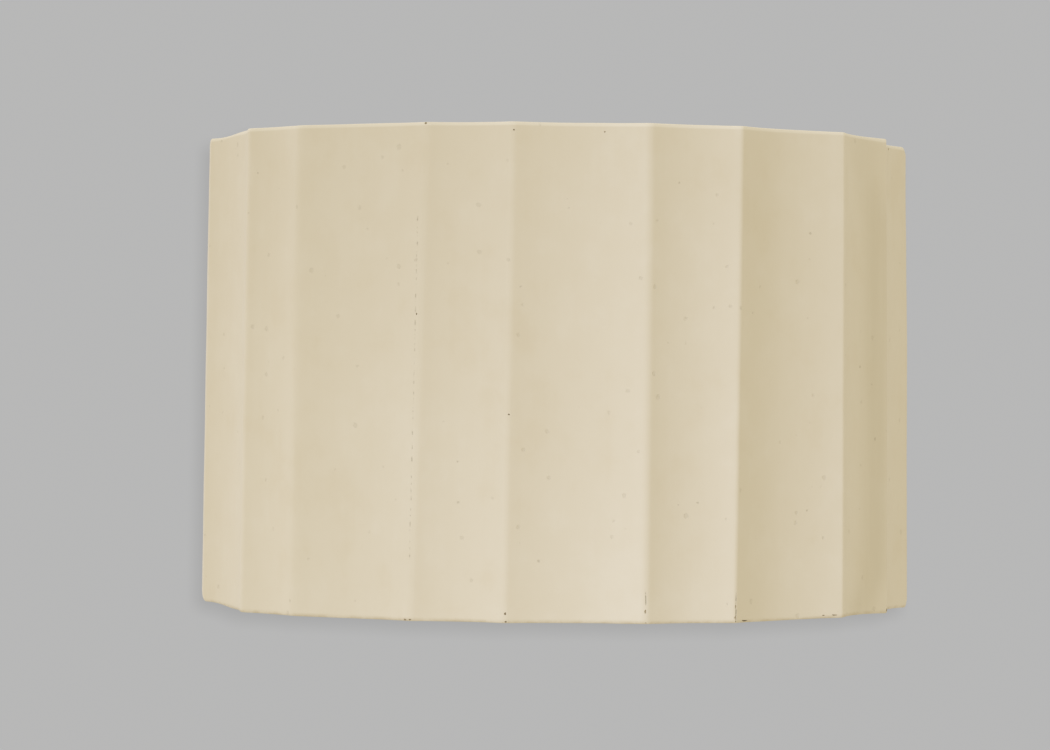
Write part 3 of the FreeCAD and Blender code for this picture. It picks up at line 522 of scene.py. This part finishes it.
def makeNipple(look):
    nipple = makeThread(look, "nippleThread", look["nipplePitch"], look["nippleMiddle"], look["nippleSwing"],
                        look["nippleFoot"], look["nippleFoot"], look["nippleHead"], look["nippleSteps"])
    for end, level in ((-1, look["nippleFoot"]), (1, look["nippleHead"])):
        growEnd(nipple, level, [(radius * mm, level + end * past * mm) for radius, past in look["nippleEnd"]])
    pick(nipple, "EDGE", lambda a, b: max(math.hypot(a.x, a.y), math.hypot(b.x, b.y)) < look["nippleBore"]
         and abs(a.z - b.z) < 1e-6)
    bridged(0)          # bore
    cleaned(nipple, 1e-6)
    toLampAxis(nipple, look["smoothAngle"])
    return nipple


lampCap = makeLampCap(threadLook)
socket = makeSocket(threadLook)
nipple = makeNipple(threadLook)
print("threads,", [len(piece.data.polygons) for piece in (lampCap, socket, nipple)], "faces")


# Finishes

def startMaterial(name):
    material = bpy.data.materials.new(name)
    material.use_nodes = True
    tree = material.node_tree
    return material, tree, tree.nodes["Principled BSDF"]


def addNode(tree, kind, inputs, **settings):
    item = tree.nodes.new(kind)
    for name, value in settings.items():
        setattr(item, name, value)
    for name, value in inputs.items():
        if isinstance(value, bpy.types.NodeSocket):
            tree.links.new(value, item.inputs[name])
        else:
            item.inputs[name].default_value = value
    return item


def places(tree, scale=(1, 1, 1)):      # object coordinates, stretched where the scale is small
    coords = addNode(tree, "ShaderNodeTexCoord", {}).outputs["Object"]
    if scale == (1, 1, 1):
        return coords
    return addNode(tree, "ShaderNodeMapping", {"Vector": coords, "Scale": scale}).outputs[0]


def cloud(tree, vector, size, detail=3.0, roughness=0.5):      # noise with patches about this size
    return addNode(tree, "ShaderNodeTexNoise", {"Vector": vector, "Scale": 1 / size, "Detail": detail,
                                                "Roughness": roughness}).outputs["Fac"]


def ramp(tree, value, low, high, start=0.0, stop=1.0):
    return addNode(tree, "ShaderNodeMapRange", {"Value": value, "From Min": low, "From Max": high,
                                                "To Min": start, "To Max": stop},
                   interpolation_type="SMOOTHSTEP").outputs["Result"]


def calc(tree, operation, first, second=0.0):
    item = addNode(tree, "ShaderNodeMath", {}, operation=operation)
    for index, value in enumerate((first, second)):
        if isinstance(value, bpy.types.NodeSocket):
            tree.links.new(value, item.inputs[index])
        else:
            item.inputs[index].default_value = value
    return item.outputs[0]


def blendColour(tree, share, first, second):
    item = addNode(tree, "ShaderNodeMix", {}, data_type="RGBA")
    for index, value in ((0, share), (6, first), (7, second)):
        if isinstance(value, bpy.types.NodeSocket):
            tree.links.new(value, item.inputs[index])
        else:
            item.inputs[index].default_value = value if index == 0 else (*value, 1.0)
    return item.outputs[2]


def bump(tree, height, depth, normal=None):
    inputs = {"Height": height, "Distance": depth, "Strength": 1.0}
    if normal is not None:
        inputs["Normal"] = normal
    return addNode(tree, "ShaderNodeBump", inputs).outputs[0]


def softEdges(tree, radius):        # light catches on the edges of small hard pieces
    return addNode(tree, "ShaderNodeBevel", {"Radius": radius}, samples=6).outputs[0]


def ragged(tree, vector, size, reach):      # shifts places a little, so that spots get uneven edges
    noise = addNode(tree, "ShaderNodeTexNoise", {"Vector": vector, "Scale": 1 / size, "Detail": 2.0})
    shift = addNode(tree, "ShaderNodeVectorMath", {0: noise.outputs["Color"], 1: (0.5, 0.5, 0.5)},
                    operation="SUBTRACT").outputs[0]
    scaled = addNode(tree, "ShaderNodeVectorMath", {0: shift, "Scale": 2 * reach}, operation="SCALE")
    moved = addNode(tree, "ShaderNodeVectorMath", {0: vector, 1: scaled.outputs[0]}, operation="ADD")
    return moved.outputs[0]


crackLook = {
    "wave": 6 * mm,             # length and width of the line's wander
    "wander": 0.8 * mm,
    "dash": 2.6 * mm,
    "dashEdge": 0.18,           # softness of a dash's ends
    "fade": 2,                  # mm over which the line's ends fade out
    "core": 0.4,                # dark share of the width
    "front": -100 * mm,         # only faces further out than this
}


def crack(tree, look, spots, side, lean, width, low, high, share, strength):    # broken line beside an arris
    up = spots.outputs["Z"]
    line = calc(tree, "ADD", calc(tree, "MULTIPLY", up, lean), side * mm)
    along = addNode(tree, "ShaderNodeCombineXYZ", {"X": side * mm, "Z": up}).outputs[0]
    swing = calc(tree, "SUBTRACT", cloud(tree, along, look["wave"]), 0.5)
    wander = calc(tree, "MULTIPLY", swing, look["wander"])
    off = calc(tree, "ABSOLUTE", calc(tree, "SUBTRACT", calc(tree, "ADD", spots.outputs["X"], wander), line))
    dashes = ramp(tree, cloud(tree, along, look["dash"], 3.0, 0.6), share, share + look["dashEdge"])
    ends = calc(tree, "MULTIPLY", ramp(tree, up, low * mm, (low + look["fade"]) * mm),
                ramp(tree, up, (high - look["fade"]) * mm, high * mm, strength, 0.0))
    front = calc(tree, "LESS_THAN", spots.outputs["Y"], look["front"])
    return calc(tree, "MULTIPLY", ramp(tree, off, look["core"] * width * mm, width * mm, 1.0, 0.0),
                calc(tree, "MULTIPLY", dashes, calc(tree, "MULTIPLY", ends, front)))


def pinholes(tree, vector, spacing, size, share):      # sparse small holes, 1 inside a hole
    cells = addNode(tree, "ShaderNodeTexVoronoi", {"Vector": vector, "Scale": 1 / spacing, "Randomness": 1.0})
    chosen = addNode(tree, "ShaderNodeSeparateColor", {"Color": cells.outputs["Color"]})
    reach = calc(tree, "MULTIPLY", chosen.outputs["Green"], size / spacing)
    hole = calc(tree, "LESS_THAN", chosen.outputs["Red"], share)
    within = calc(tree, "SUBTRACT", reach, cells.outputs["Distance"])
    return calc(tree, "MULTIPLY", hole, ramp(tree, within, 0.0, 0.35 * size / spacing))


plasterLook = {
    "pale": (0.712, 0.627, 0.482),
    "cream": (0.700, 0.612, 0.462),
    "buff": (0.686, 0.594, 0.438),
    "hole": (0.37, 0.315, 0.195),
    # ochre grime, in the inside's holes and along the foot, where it also stands in for painted shade under
    # the rim
    "grime": (0.46, 0.355, 0.19),
    # paler head rim: wear and painted highlight where the rim catches light from above
    "worn": (0.79, 0.71, 0.57),
    # painted shade: colour of the darker upright band near the right end
    "shadeBand": (0.60, 0.515, 0.36),
    "crumbDark": (0.38, 0.295, 0.17),
    "crumbPale": (0.56, 0.46, 0.30),
    "roughness": 0.88,
    "specular": 0.22,
    "patch": 60 * mm,               # sizes of the tone's patches, drifts and upright streaks
    "drift": 14 * mm,
    "streak": 5 * mm,
    "grain": 0.9 * mm,
    "pitDepth": 0.25 * mm,
    "faintHoles": (6 * mm, 1.3 * mm, 0.45),         # spacing, size and share
    "fineHoles": (8 * mm, 0.75 * mm, 0.16),
    "coarseHoles": (23 * mm, 0.8 * mm, 0.15),
    "scratches": (13 * mm, 0.5 * mm, 0.10),
    "leftDroop": (-148 * mm, -135 * mm, 1.7 * mm, 0.0),         # the worn rims' sink from x to x, in and out
    "footDroop": (88 * mm, 124 * mm, 0.0, 1.3 * mm),
    "headDroop": (104 * mm, 149 * mm, 0.0, 1.9 * mm),
    "footGrimeAndShadeBand": (-99.6 * mm, -98.0 * mm, 1.0, 0.0),             # grime with painted shade along the foot, wear with painted highlight along the head
    "headWearAndHighlightBand": (98.0 * mm, 98.8 * mm),
    "cracks": (         # place across in mm at half height, lean, width, foot, head in mm, gaps, strength
        (-65.0, 0.015, 0.26, -78, 66, 0.47, 0.6), (27.8, 0.0011, 0.25, -96.5, -86, 0.44, 0.75),
        (65.55, 0.0066, 0.29, -100, -87, 0.38, 0.85)),
    "shadeBandSide": 128.1 * mm,        # painted shade: a faint upright darker band near the right end, drawn into the colour
    "shadeBandWidth": 10.0 * mm,
    "shadeBandBend": 6.0 * mm,          # its ends lean inwards
    "shadeBandHead": (62 * mm, 90 * mm),
    "shadeBandFoot": (-98 * mm, -78 * mm),
    "shadeBandFade": (62 * mm, 86 * mm, 1.0, 0.5),
    "shadeBandShare": 0.54,
}


def makePlasterFace(look):
    material, tree, shader = startMaterial("plasterFace")
    coords = places(tree)
    patches = cloud(tree, coords, look["patch"], 4.0, 0.55)
    drift = cloud(tree, coords, look["drift"], 3.0, 0.6)
    streaks = cloud(tree, places(tree, (1, 1, 0.04)), look["streak"], 3.0, 0.6)
    smaller = calc(tree, "ADD", calc(tree, "MULTIPLY", drift, 0.35), calc(tree, "MULTIPLY", streaks, 0.15))
    tone = calc(tree, "ADD", calc(tree, "MULTIPLY", patches, 0.5), smaller)
    colour = blendColour(tree, ramp(tree, tone, 0.36, 0.5), look["buff"], look["cream"])
    colour = blendColour(tree, ramp(tree, tone, 0.5, 0.64), colour, look["pale"])
    spots = addNode(tree, "ShaderNodeSeparateXYZ", {"Vector": coords})
    uneven = ragged(tree, coords, 0.9 * mm, 0.55 * mm)
    faint = pinholes(tree, uneven, *look["faintHoles"])
    fine = pinholes(tree, uneven, *look["fineHoles"])
    coarse = pinholes(tree, uneven, *look["coarseHoles"])
    scratch = pinholes(tree, places(tree, (1, 1, 0.3)), *look["scratches"])
    lines = [crack(tree, crackLook, spots, *numbers) for numbers in look["cracks"]]
    seam = calc(tree, "MAXIMUM", calc(tree, "MAXIMUM", lines[0], lines[1]), lines[2])
    holes = calc(tree, "MAXIMUM", calc(tree, "MAXIMUM", calc(tree, "MULTIPLY", fine, 0.4),
                                       calc(tree, "MULTIPLY", coarse, 0.42)),
                 calc(tree, "MAXIMUM", calc(tree, "MULTIPLY", scratch, 0.6), seam))
    side, up = spots.outputs["X"], spots.outputs["Z"]
    leftEnd = ramp(tree, side, *look["leftDroop"])      # rims droop at the ends
    lower = calc(tree, "ADD", leftEnd, ramp(tree, side, *look["footDroop"]))
    upper = calc(tree, "ADD", leftEnd, ramp(tree, side, *look["headDroop"]))
    # darker ochre band along the foot: grime smears together with painted shade under the rim
    foot = ramp(tree, calc(tree, "SUBTRACT", up, lower), *look["footGrimeAndShadeBand"])
    smears = ramp(tree, cloud(tree, coords, 9 * mm, 4.0, 0.65), 0.35, 0.62, 0.35, 1.0)
    grime = calc(tree, "MULTIPLY", foot, smears)
    # paler band along the head rim: wear together with painted highlight from light above
    wornAndLitCrown = ramp(tree, calc(tree, "ADD", up, upper), *look["headWearAndHighlightBand"])
    # painted shade: a darker upright band near the right end, its ends bending inwards, weaker towards the
    # head
    bend = calc(tree, "ADD", ramp(tree, up, *look["shadeBandHead"], 0.0, look["shadeBandBend"]),
                ramp(tree, up, *look["shadeBandFoot"], look["shadeBandBend"], 0.0))
    aside = calc(tree, "ABSOLUTE", calc(tree, "SUBTRACT", calc(tree, "ADD", side, bend), look["shadeBandSide"]))
    band = ramp(tree, aside, 0.1 * look["shadeBandWidth"], look["shadeBandWidth"], 1.0, 0.0)
    shadeBand = calc(tree, "MULTIPLY", band,
                 calc(tree, "MULTIPLY", ramp(tree, streaks, 0.35, 0.6, 0.7, 1.0),
                      ramp(tree, up, *look["shadeBandFade"])))
    colour = blendColour(tree, calc(tree, "MULTIPLY", shadeBand, look["shadeBandShare"]), colour, look["shadeBand"])
    colour = blendColour(tree, calc(tree, "MULTIPLY", wornAndLitCrown, 0.8), colour, look["worn"])
    colour = blendColour(tree, calc(tree, "MULTIPLY", grime, 0.5), colour, look["grime"])
    colour = blendColour(tree, calc(tree, "MULTIPLY", faint, 0.15), colour, look["hole"])
    colour = blendColour(tree, calc(tree, "MULTIPLY", holes, 0.85), colour, look["hole"])
    tree.links.new(colour, shader.inputs["Base Color"])
    grain = cloud(tree, coords, look["grain"], 3.0, 0.6)
    tree.links.new(ramp(tree, grain, 0.2, 0.8, look["roughness"] - 0.06, look["roughness"] + 0.06),
                   shader.inputs["Roughness"])
    shader.inputs["Specular IOR Level"].default_value = look["specular"]
    height = calc(tree, "ADD", calc(tree, "MULTIPLY", grain, 0.08), calc(tree, "MULTIPLY", streaks, 0.06))
    pits = calc(tree, "MAXIMUM", holes, calc(tree, "MULTIPLY", faint, 0.45))
    height = calc(tree, "SUBTRACT", height, pits)
    tree.links.new(bump(tree, height, look["pitDepth"]), shader.inputs["Normal"])
    return material


def makePlasterInside(look):        # trowelled, paler and rougher
    material, tree, shader = startMaterial("plasterInside")
    coords = places(tree)
    patches = cloud(tree, coords, 35 * mm, 5.0, 0.6)
    sweeps = cloud(tree, places(tree, (0.25, 0.25, 1)), 9 * mm, 4.0, 0.6)
    tone = calc(tree, "ADD", calc(tree, "MULTIPLY", patches, 0.5), calc(tree, "MULTIPLY", sweeps, 0.5))
    colour = blendColour(tree, ramp(tree, tone, 0.3, 0.7), look["cream"], look["pale"])
    holes = calc(tree, "MAXIMUM", pinholes(tree, coords, 7 * mm, 1.1 * mm, 0.3),
                 pinholes(tree, coords, 19 * mm, 2.4 * mm, 0.3))
    colour = blendColour(tree, calc(tree, "MULTIPLY", holes, 0.45), colour, look["grime"])
    tree.links.new(colour, shader.inputs["Base Color"])
    shader.inputs["Roughness"].default_value = 0.93
    shader.inputs["Specular IOR Level"].default_value = look["specular"]
    height = calc(tree, "SUBTRACT", calc(tree, "ADD", calc(tree, "MULTIPLY", sweeps, 0.35),
                                         calc(tree, "MULTIPLY", patches, 0.5)), holes)
    tree.links.new(bump(tree, height, 0.6 * mm), shader.inputs["Normal"])
    return material


def makePlasterChip(look):
    material, tree, shader = startMaterial("plasterChip")
    crumbs = cloud(tree, places(tree), 0.6 * mm, 3.0, 0.7)
    tree.links.new(blendColour(tree, ramp(tree, crumbs, 0.35, 0.65), look["crumbDark"], look["crumbPale"]),
                   shader.inputs["Base Color"])
    shader.inputs["Roughness"].default_value = 0.95
    shader.inputs["Specular IOR Level"].default_value = look["specular"]
    tree.links.new(bump(tree, crumbs, 0.2 * mm), shader.inputs["Normal"])
    return material


def makePlasterDab(look):
    material, tree, shader = startMaterial("plasterDab")
    coords = places(tree)
    drift = cloud(tree, coords, 8 * mm, 5.0, 0.65)
    holes = pinholes(tree, coords, 3.5 * mm, 0.9 * mm, 0.35)
    colour = blendColour(tree, ramp(tree, drift, 0.35, 0.65), (0.70, 0.66, 0.57), (0.82, 0.79, 0.72))
    tree.links.new(blendColour(tree, calc(tree, "MULTIPLY", holes, 0.5), colour, (0.45, 0.40, 0.31)),
                   shader.inputs["Base Color"])
    shader.inputs["Roughness"].default_value = 0.95
    shader.inputs["Specular IOR Level"].default_value = look["specular"]
    height = calc(tree, "SUBTRACT", cloud(tree, coords, 1.6 * mm, 4.0, 0.7), holes)
    tree.links.new(bump(tree, height, 0.5 * mm), shader.inputs["Normal"])
    return material


paintLooks = {      # name, two tones, roughness, then skin size, skin depth and soft edge in mm
    "plate_paint": ("platePaint", (0.735, 0.725, 0.695), (0.755, 0.745, 0.715), 0.42, 0.9, 0.05, 0.4),
    "holder_plastic": ("holderPlastic", (0.76, 0.75, 0.70), (0.81, 0.80, 0.76), 0.30, 1.6, 0.012, 0.4),
    "holder_ceramic": ("holderCeramic", (0.76, 0.75, 0.71), (0.84, 0.83, 0.80), 0.60, 0.5, 0.03, 0.3),
    "bulb_black": ("bulbBlack", (0.016, 0.016, 0.020), (0.030, 0.030, 0.036), 0.18, 2, 0.02, 0.2),
    "block_plastic": ("blockPlastic", (0.78, 0.78, 0.74), (0.84, 0.84, 0.81), 0.38, 1.2, 0.02, 0.3),
}


def makePaint(name, first, second, roughness, peel, depth, edge):      # powder coat or moulded plastic
    material, tree, shader = startMaterial(name)
    coords = places(tree)
    tone = ramp(tree, cloud(tree, coords, 12 * mm, 4.0, 0.6), 0.35, 0.65)
    tree.links.new(blendColour(tree, tone, first, second), shader.inputs["Base Color"])
    skin = cloud(tree, coords, peel * mm, 2.0, 0.5)
    gloss = ramp(tree, skin, 0.2, 0.8, roughness - 0.06, roughness + 0.08)
    tree.links.new(gloss, shader.inputs["Roughness"])
    tree.links.new(bump(tree, skin, depth * mm, softEdges(tree, edge * mm)), shader.inputs["Normal"])
    return material


metalLooks = {      # name, two tones, roughness, stretch of the brushing, its depth and soft edge in mm
    "holder_brass": ("holderBrass", (0.76, 0.57, 0.27), (0.58, 0.41, 0.18), 0.30, (1, 1, 0.1), 0.012, 0.2),
    "nickel_brass": ("nickelBrass", (0.72, 0.70, 0.65), (0.60, 0.57, 0.50), 0.26, (0.15, 0.15, 1),
                     0.010, 0.15),
    "solder_tip": ("solderTip", (0.60, 0.60, 0.60), (0.42, 0.42, 0.42), 0.42, (1, 1, 1), 0.05, 0.2),
    "tinned_copper": ("tinnedCopper", (0.68, 0.67, 0.64), (0.58, 0.50, 0.42), 0.34, (1, 1, 0.2), 0.015, 0.2),
}


def makeMetal(name, bright, dull, roughness, stretch, depth, edge):
    material, tree, shader = startMaterial(name)
    coords = places(tree)
    tarnish = cloud(tree, coords, 5 * mm, 5.0, 0.65)
    brush = cloud(tree, places(tree, stretch), 0.5 * mm, 3.0, 0.6)
    colour = blendColour(tree, ramp(tree, tarnish, 0.42, 0.68), bright, dull)
    tree.links.new(colour, shader.inputs["Base Color"])
    worn = calc(tree, "ADD", calc(tree, "MULTIPLY", tarnish, 0.5), calc(tree, "MULTIPLY", brush, 0.5))
    gloss = ramp(tree, worn, 0.3, 0.7, roughness - 0.08, roughness + 0.14)
    tree.links.new(gloss, shader.inputs["Roughness"])
    shader.inputs["Metallic"].default_value = 1.0
    tree.links.new(bump(tree, brush, depth * mm, softEdges(tree, edge * mm)), shader.inputs["Normal"])
    return material


def makeZinc():         # plated sheet with a faint spangle
    material, tree, shader = startMaterial("zincSteel")
    coords = places(tree)
    spangle = addNode(tree, "ShaderNodeTexVoronoi", {"Vector": coords, "Scale": 1 / (3.5 * mm)})
    grey = addNode(tree, "ShaderNodeSeparateColor", {"Color": spangle.outputs["Color"]}).outputs["Red"]
    smear = cloud(tree, coords, 6 * mm, 4.0, 0.6)
    share = calc(tree, "ADD", calc(tree, "MULTIPLY", grey, 0.4), calc(tree, "MULTIPLY", smear, 0.6))
    colour = blendColour(tree, share, (0.52, 0.53, 0.54), (0.70, 0.71, 0.72))
    tree.links.new(colour, shader.inputs["Base Color"])
    tree.links.new(ramp(tree, share, 0.2, 0.8, 0.30, 0.46), shader.inputs["Roughness"])
    shader.inputs["Metallic"].default_value = 1.0
    tree.links.new(bump(tree, cloud(tree, coords, 0.7 * mm, 2.0), 0.02 * mm, softEdges(tree, 0.3 * mm)),
                   shader.inputs["Normal"])
    return material


def makeOpalGlass():
    material, tree, shader = startMaterial("opalGlass")
    coords = places(tree)
    milk = cloud(tree, coords, 18 * mm, 3.0, 0.5)
    tree.links.new(blendColour(tree, ramp(tree, milk, 0.3, 0.7), (0.86, 0.86, 0.835), (0.90, 0.90, 0.885)),
                   shader.inputs["Base Color"])
    dust = cloud(tree, coords, 3 * mm, 4.0, 0.7)
    tree.links.new(ramp(tree, dust, 0.45, 0.75, 0.10, 0.24), shader.inputs["Roughness"])
    shader.inputs["Subsurface Weight"].default_value = 0.4
    shader.inputs["Subsurface Radius"].default_value = (1.0, 0.95, 0.85)
    shader.inputs["Subsurface Scale"].default_value = 4 * mm
    shader.inputs["IOR"].default_value = 1.5
    tree.links.new(bump(tree, cloud(tree, coords, 25 * mm, 2.0), 0.08 * mm), shader.inputs["Normal"])
    return material


def makeRubber():
    material, tree, shader = startMaterial("grommetRubber")
    coords = places(tree)
    bloom = cloud(tree, coords, 2.5 * mm, 4.0, 0.65)
    colour = blendColour(tree, ramp(tree, bloom, 0.4, 0.7), (0.020, 0.020, 0.021), (0.055, 0.053, 0.050))
    tree.links.new(colour, shader.inputs["Base Color"])
    tree.links.new(ramp(tree, bloom, 0.3, 0.7, 0.55, 0.8), shader.inputs["Roughness"])
    tree.links.new(bump(tree, cloud(tree, coords, 0.5 * mm, 2.0), 0.03 * mm, softEdges(tree, 0.3 * mm)),
                   shader.inputs["Normal"])
    return material


def makeSleeve(name, main, shade, stripe=None):        # drawn wire insulation, with a stripe for earth
    material, tree, shader = startMaterial(name)
    coords = places(tree)
    drawn = cloud(tree, places(tree, (1, 1, 0.12)), 0.6 * mm, 3.0, 0.6)
    colour = blendColour(tree, ramp(tree, drawn, 0.3, 0.7), shade, main)
    if stripe:
        spots = addNode(tree, "ShaderNodeSeparateXYZ", {"Vector": coords})
        middle = addNode(tree, "ShaderNodeMapRange", {
            "Value": spots.outputs["Z"], "From Min": -36 * mm, "From Max": -32 * mm,
            "To Min": -3.95 * mm, "To Max": -8 * mm}).outputs["Result"]      # the wire's own centre line
        side = calc(tree, "ABSOLUTE", calc(tree, "SUBTRACT", spots.outputs["Y"], middle))
        colour = blendColour(tree, ramp(tree, side, 0.5 * mm, 0.6 * mm), colour, stripe)
    tree.links.new(colour, shader.inputs["Base Color"])
    tree.links.new(ramp(tree, drawn, 0.3, 0.7, 0.36, 0.5), shader.inputs["Roughness"])
    tree.links.new(bump(tree, drawn, 0.02 * mm), shader.inputs["Normal"])
    return material


finishes = {
    "plaster_dab": makePlasterDab(plasterLook),
    "zinc_steel": makeZinc(),
    "grommet_rubber": makeRubber(),
    "opal_glass": makeOpalGlass(),
    "live_sleeve": makeSleeve("liveSleeve", (0.22, 0.075, 0.030), (0.16, 0.055, 0.022)),
    "neutral_sleeve": makeSleeve("neutralSleeve", (0.035, 0.15, 0.46), (0.025, 0.11, 0.36)),
    "earth_sleeve": makeSleeve("earthSleeve", (0.10, 0.34, 0.06), (0.07, 0.26, 0.04), (0.78, 0.68, 0.06)),
}
for slot, numbers in paintLooks.items():
    finishes[slot] = makePaint(*numbers)
for slot, numbers in metalLooks.items():
    finishes[slot] = makeMetal(*numbers)


def dressShell(shell, chips, look):
    chip = makePlasterChip(look)
    for material in (makePlasterFace(look), makePlasterInside(look), chip):
        shell.data.materials.append(material)
    inner = shellLook["insideRadius"] + shellLook["insideSkin"]
    for face in shell.data.polygons:
        face.material_index = 1 if math.hypot(face.center.x, face.center.y) < inner else 0
    chips.data.materials.append(chip)
    applyModifier(shell, "BOOLEAN", object=chips, operation="DIFFERENCE", solver="EXACT",
                  material_mode="TRANSFER")
    bpy.data.objects.remove(chips)
    smoothed(shell, shellLook["smoothAngle"])


dressShell(shell, makeChips(chipLook, shellLook), plasterLook)
placed(shell, "shell", "plaster", "plaster_shell")
for piece, body, slot, node in (
        (leftDab, "shell", "plaster_dab", "left_hanger_wad"),
        (rightDab, "shell", "plaster_dab", "right_hanger_wad"),
        (lampCap, "bulb", "nickel_brass", "bulb_cap"),
        (socket, "fixture", "nickel_brass", "holder_screw_shell"),
        (nipple, "fixture", "holder_brass", "holder_nipple")):
    piece.data.materials.append(finishes[slot])
    placed(piece, body, slot, node)
for part in frame["record"]["subparts"]:
    if part["material_slot"] in finishes:
        for holder in frame["nodes"][part["node"]].material_slots:
            holder.material = finishes[part["material_slot"]]
print("finishes on,", len(shell.data.polygons), "faces in the shell")


# Stage: a pale wall well behind the light, so that it is never between a camera and the back

stageLook = {
    "grey": 0.474,
    "wallGlow": (0.3157, 0.3173, 0.3246),      # part of the wall's grey that nothing shades
    "wallTone": 0.1,
    "wallPlace": 4.0,           # past the cameras that look from behind, also when the shell is lifted
    "wallSize": 6.4,
    "wallEven": 0.242,          # makes up for the shadow lamp's fall-off, as a share of the glow
    "fill": (0.848, 0.8274, 0.7368),
    "cameraPlace": (-0.1234, -2.0722, -0.0039),
    "cameraWay": (0.05298, 0.99860, 0.00147),
    "cameraRoll": 0.534,
    "lens": 166.3,
    "sensor": 36.0,
    "clip": (0.05, 30.0),
    "spots": {              # beams that fall off towards their rims
        "keyLamp": {"around": -34, "above": 8, "away": 1.9, "aim": (1.147, -0.371, -0.452), "cone": 64,
                    "size": 0.15, "colour": (0.532, 0.643, 1.0), "power": 160.4},
        "lowLamp": {"around": -55, "above": -15, "away": 1.9, "aim": (-0.125, -0.09, -0.07), "cone": 9.5,
                    "size": 0.05, "colour": (0.615, 0.745, 1.0), "power": 6.5},
    },
    "shadow": {"right": 0.0042, "up": 0.005, "size": 0.0067, "power": 1124.0},      # beside the camera
    "boxes": {              # degrees round, degrees up, metres away, width, height, watts, colour
        "leftBox": (-125, 10, 1.9, 0.8, 1.5, 11.0, (0.625, 0.70, 1.0)),
        "topBox": (180, 75, 1.6, 1.2, 0.8, 4.5, (1.0, 1.0, 1.0)),
    },
}


def makeCamera(look):
    way = Vector(look["cameraWay"]).normalized()
    level = way.cross(Vector((0, 0, 1))).normalized()
    up = level.cross(way)
    roll = math.radians(look["cameraRoll"])
    right = level * math.cos(roll) + up * math.sin(roll)
    up = right.cross(way)
    bpy.ops.object.camera_add()
    camera = bpy.context.object
    facing = Matrix((right, up, -way)).transposed().to_4x4()
    camera.matrix_world = Matrix.Translation(look["cameraPlace"]) @ facing
    camera.data.sensor_width = look["sensor"]
    camera.data.lens = look["lens"]
    camera.data.clip_start, camera.data.clip_end = look["clip"]
    scene.camera = camera
    return Vector(look["cameraPlace"]) + right * look["shadow"]["right"] + up * look["shadow"]["up"]


def makeWall(look, lampPlace):
    deselectAll()
    bpy.ops.mesh.primitive_plane_add(size=look["wallSize"], location=(0, look["wallPlace"], 0),
                                     rotation=(math.pi / 2, 0, 0))
    wall = bpy.context.object
    wall.name = "backWall"
    settle(wall)
    material, tree, shader = startMaterial("backWall")
    shader.inputs["Base Color"].default_value = (look["wallTone"],) * 3 + (1,)
    shader.inputs["Roughness"].default_value = 1.0
    shader.inputs["Specular IOR Level"].default_value = 0.0
    shader.inputs["Emission Color"].default_value = (*look["wallGlow"], 1)
    far = addNode(tree, "ShaderNodeVectorMath", {0: places(tree), 1: lampPlace}, operation="DISTANCE")
    near = calc(tree, "DIVIDE", look["wallPlace"] - lampPlace.y, far.outputs["Value"])
    falling = calc(tree, "MULTIPLY", calc(tree, "POWER", near, 3.0), -look["wallEven"])
    glow = calc(tree, "ADD", falling, 1 + look["wallEven"])
    tree.links.new(glow, shader.inputs["Emission Strength"])
    wall.data.materials.append(material)
    return wall


def linkLight(lamp, wall, state):       # a lamp that lights only the wall, or everything but the wall
    group = bpy.data.collections.new(lamp.name + "Reach")
    group.objects.link(wall)
    group.collection_objects[0].light_linking.link_state = state
    lamp.light_linking.receiver_collection = group
    lamp.visible_camera = False


def awayFrom(around, above, away):       # a place round the light, in degrees from its front
    turn, rise = math.radians(around), math.radians(above)
    level = math.cos(rise)
    return Vector((math.sin(turn) * level, -math.cos(turn) * level, math.sin(rise))) * away


def softBox(name, wall, around, above, away, width, height, power, colour):
    place = awayFrom(around, above, away)
    aimed = (-place).to_track_quat("-Z", "Y").to_euler()
    bpy.ops.object.light_add(type="AREA", location=place, rotation=aimed)
    lamp = bpy.context.object
    lamp.name = name
    lamp.data.shape = "RECTANGLE"
    lamp.data.size, lamp.data.size_y = width, height
    lamp.data.energy = power
    lamp.data.color = colour
    linkLight(lamp, wall, "EXCLUDE")


def spotLamp(name, wall, look):
    place = awayFrom(look["around"], look["above"], look["away"])
    way = Vector(look["aim"]) - place
    bpy.ops.object.light_add(type="SPOT", location=place, rotation=way.to_track_quat("-Z", "Y").to_euler())
    lamp = bpy.context.object
    lamp.name = name
    lamp.data.spot_size = math.radians(look["cone"])
    lamp.data.spot_blend = 1.0
    lamp.data.shadow_soft_size = look["size"]
    lamp.data.color = look["colour"]
    lamp.data.energy = look["power"]
    linkLight(lamp, wall, "EXCLUDE")


def shadowLamp(wall, look, place):      # throws the thin soft shadow on the wall
    bpy.ops.object.light_add(type="POINT", location=place)
    lamp = bpy.context.object
    lamp.name = "shadowLamp"
    lamp.data.shadow_soft_size = look["size"]
    lamp.data.energy = look["power"]
    linkLight(lamp, wall, "INCLUDE")


def makeWorld(look):
    world = bpy.data.worlds.new("studio")
    scene.world = world
    world.use_nodes = True
    tree = world.node_tree
    sky = tree.nodes["Background"]
    sky.inputs["Strength"].default_value = 1.0
    path = addNode(tree, "ShaderNodeLightPath", {})
    seen = calc(tree, "MAXIMUM", path.outputs["Is Camera Ray"],
                calc(tree, "MAXIMUM", path.outputs["Is Glossy Ray"], path.outputs["Is Transmission Ray"]))
    tree.links.new(blendColour(tree, seen, look["fill"], (look["grey"],) * 3), sky.inputs["Color"])


shadowPlace = makeCamera(stageLook)
wall = makeWall(stageLook, shadowPlace)
for name, numbers in stageLook["spots"].items():
    spotLamp(name, wall, numbers)
shadowLamp(wall, stageLook["shadow"], shadowPlace)
for name, numbers in stageLook["boxes"].items():
    softBox(name, wall, *numbers)
makeWorld(stageLook)
scene.view_settings.view_transform = "Standard"
print("camera, wall and lamps placed")
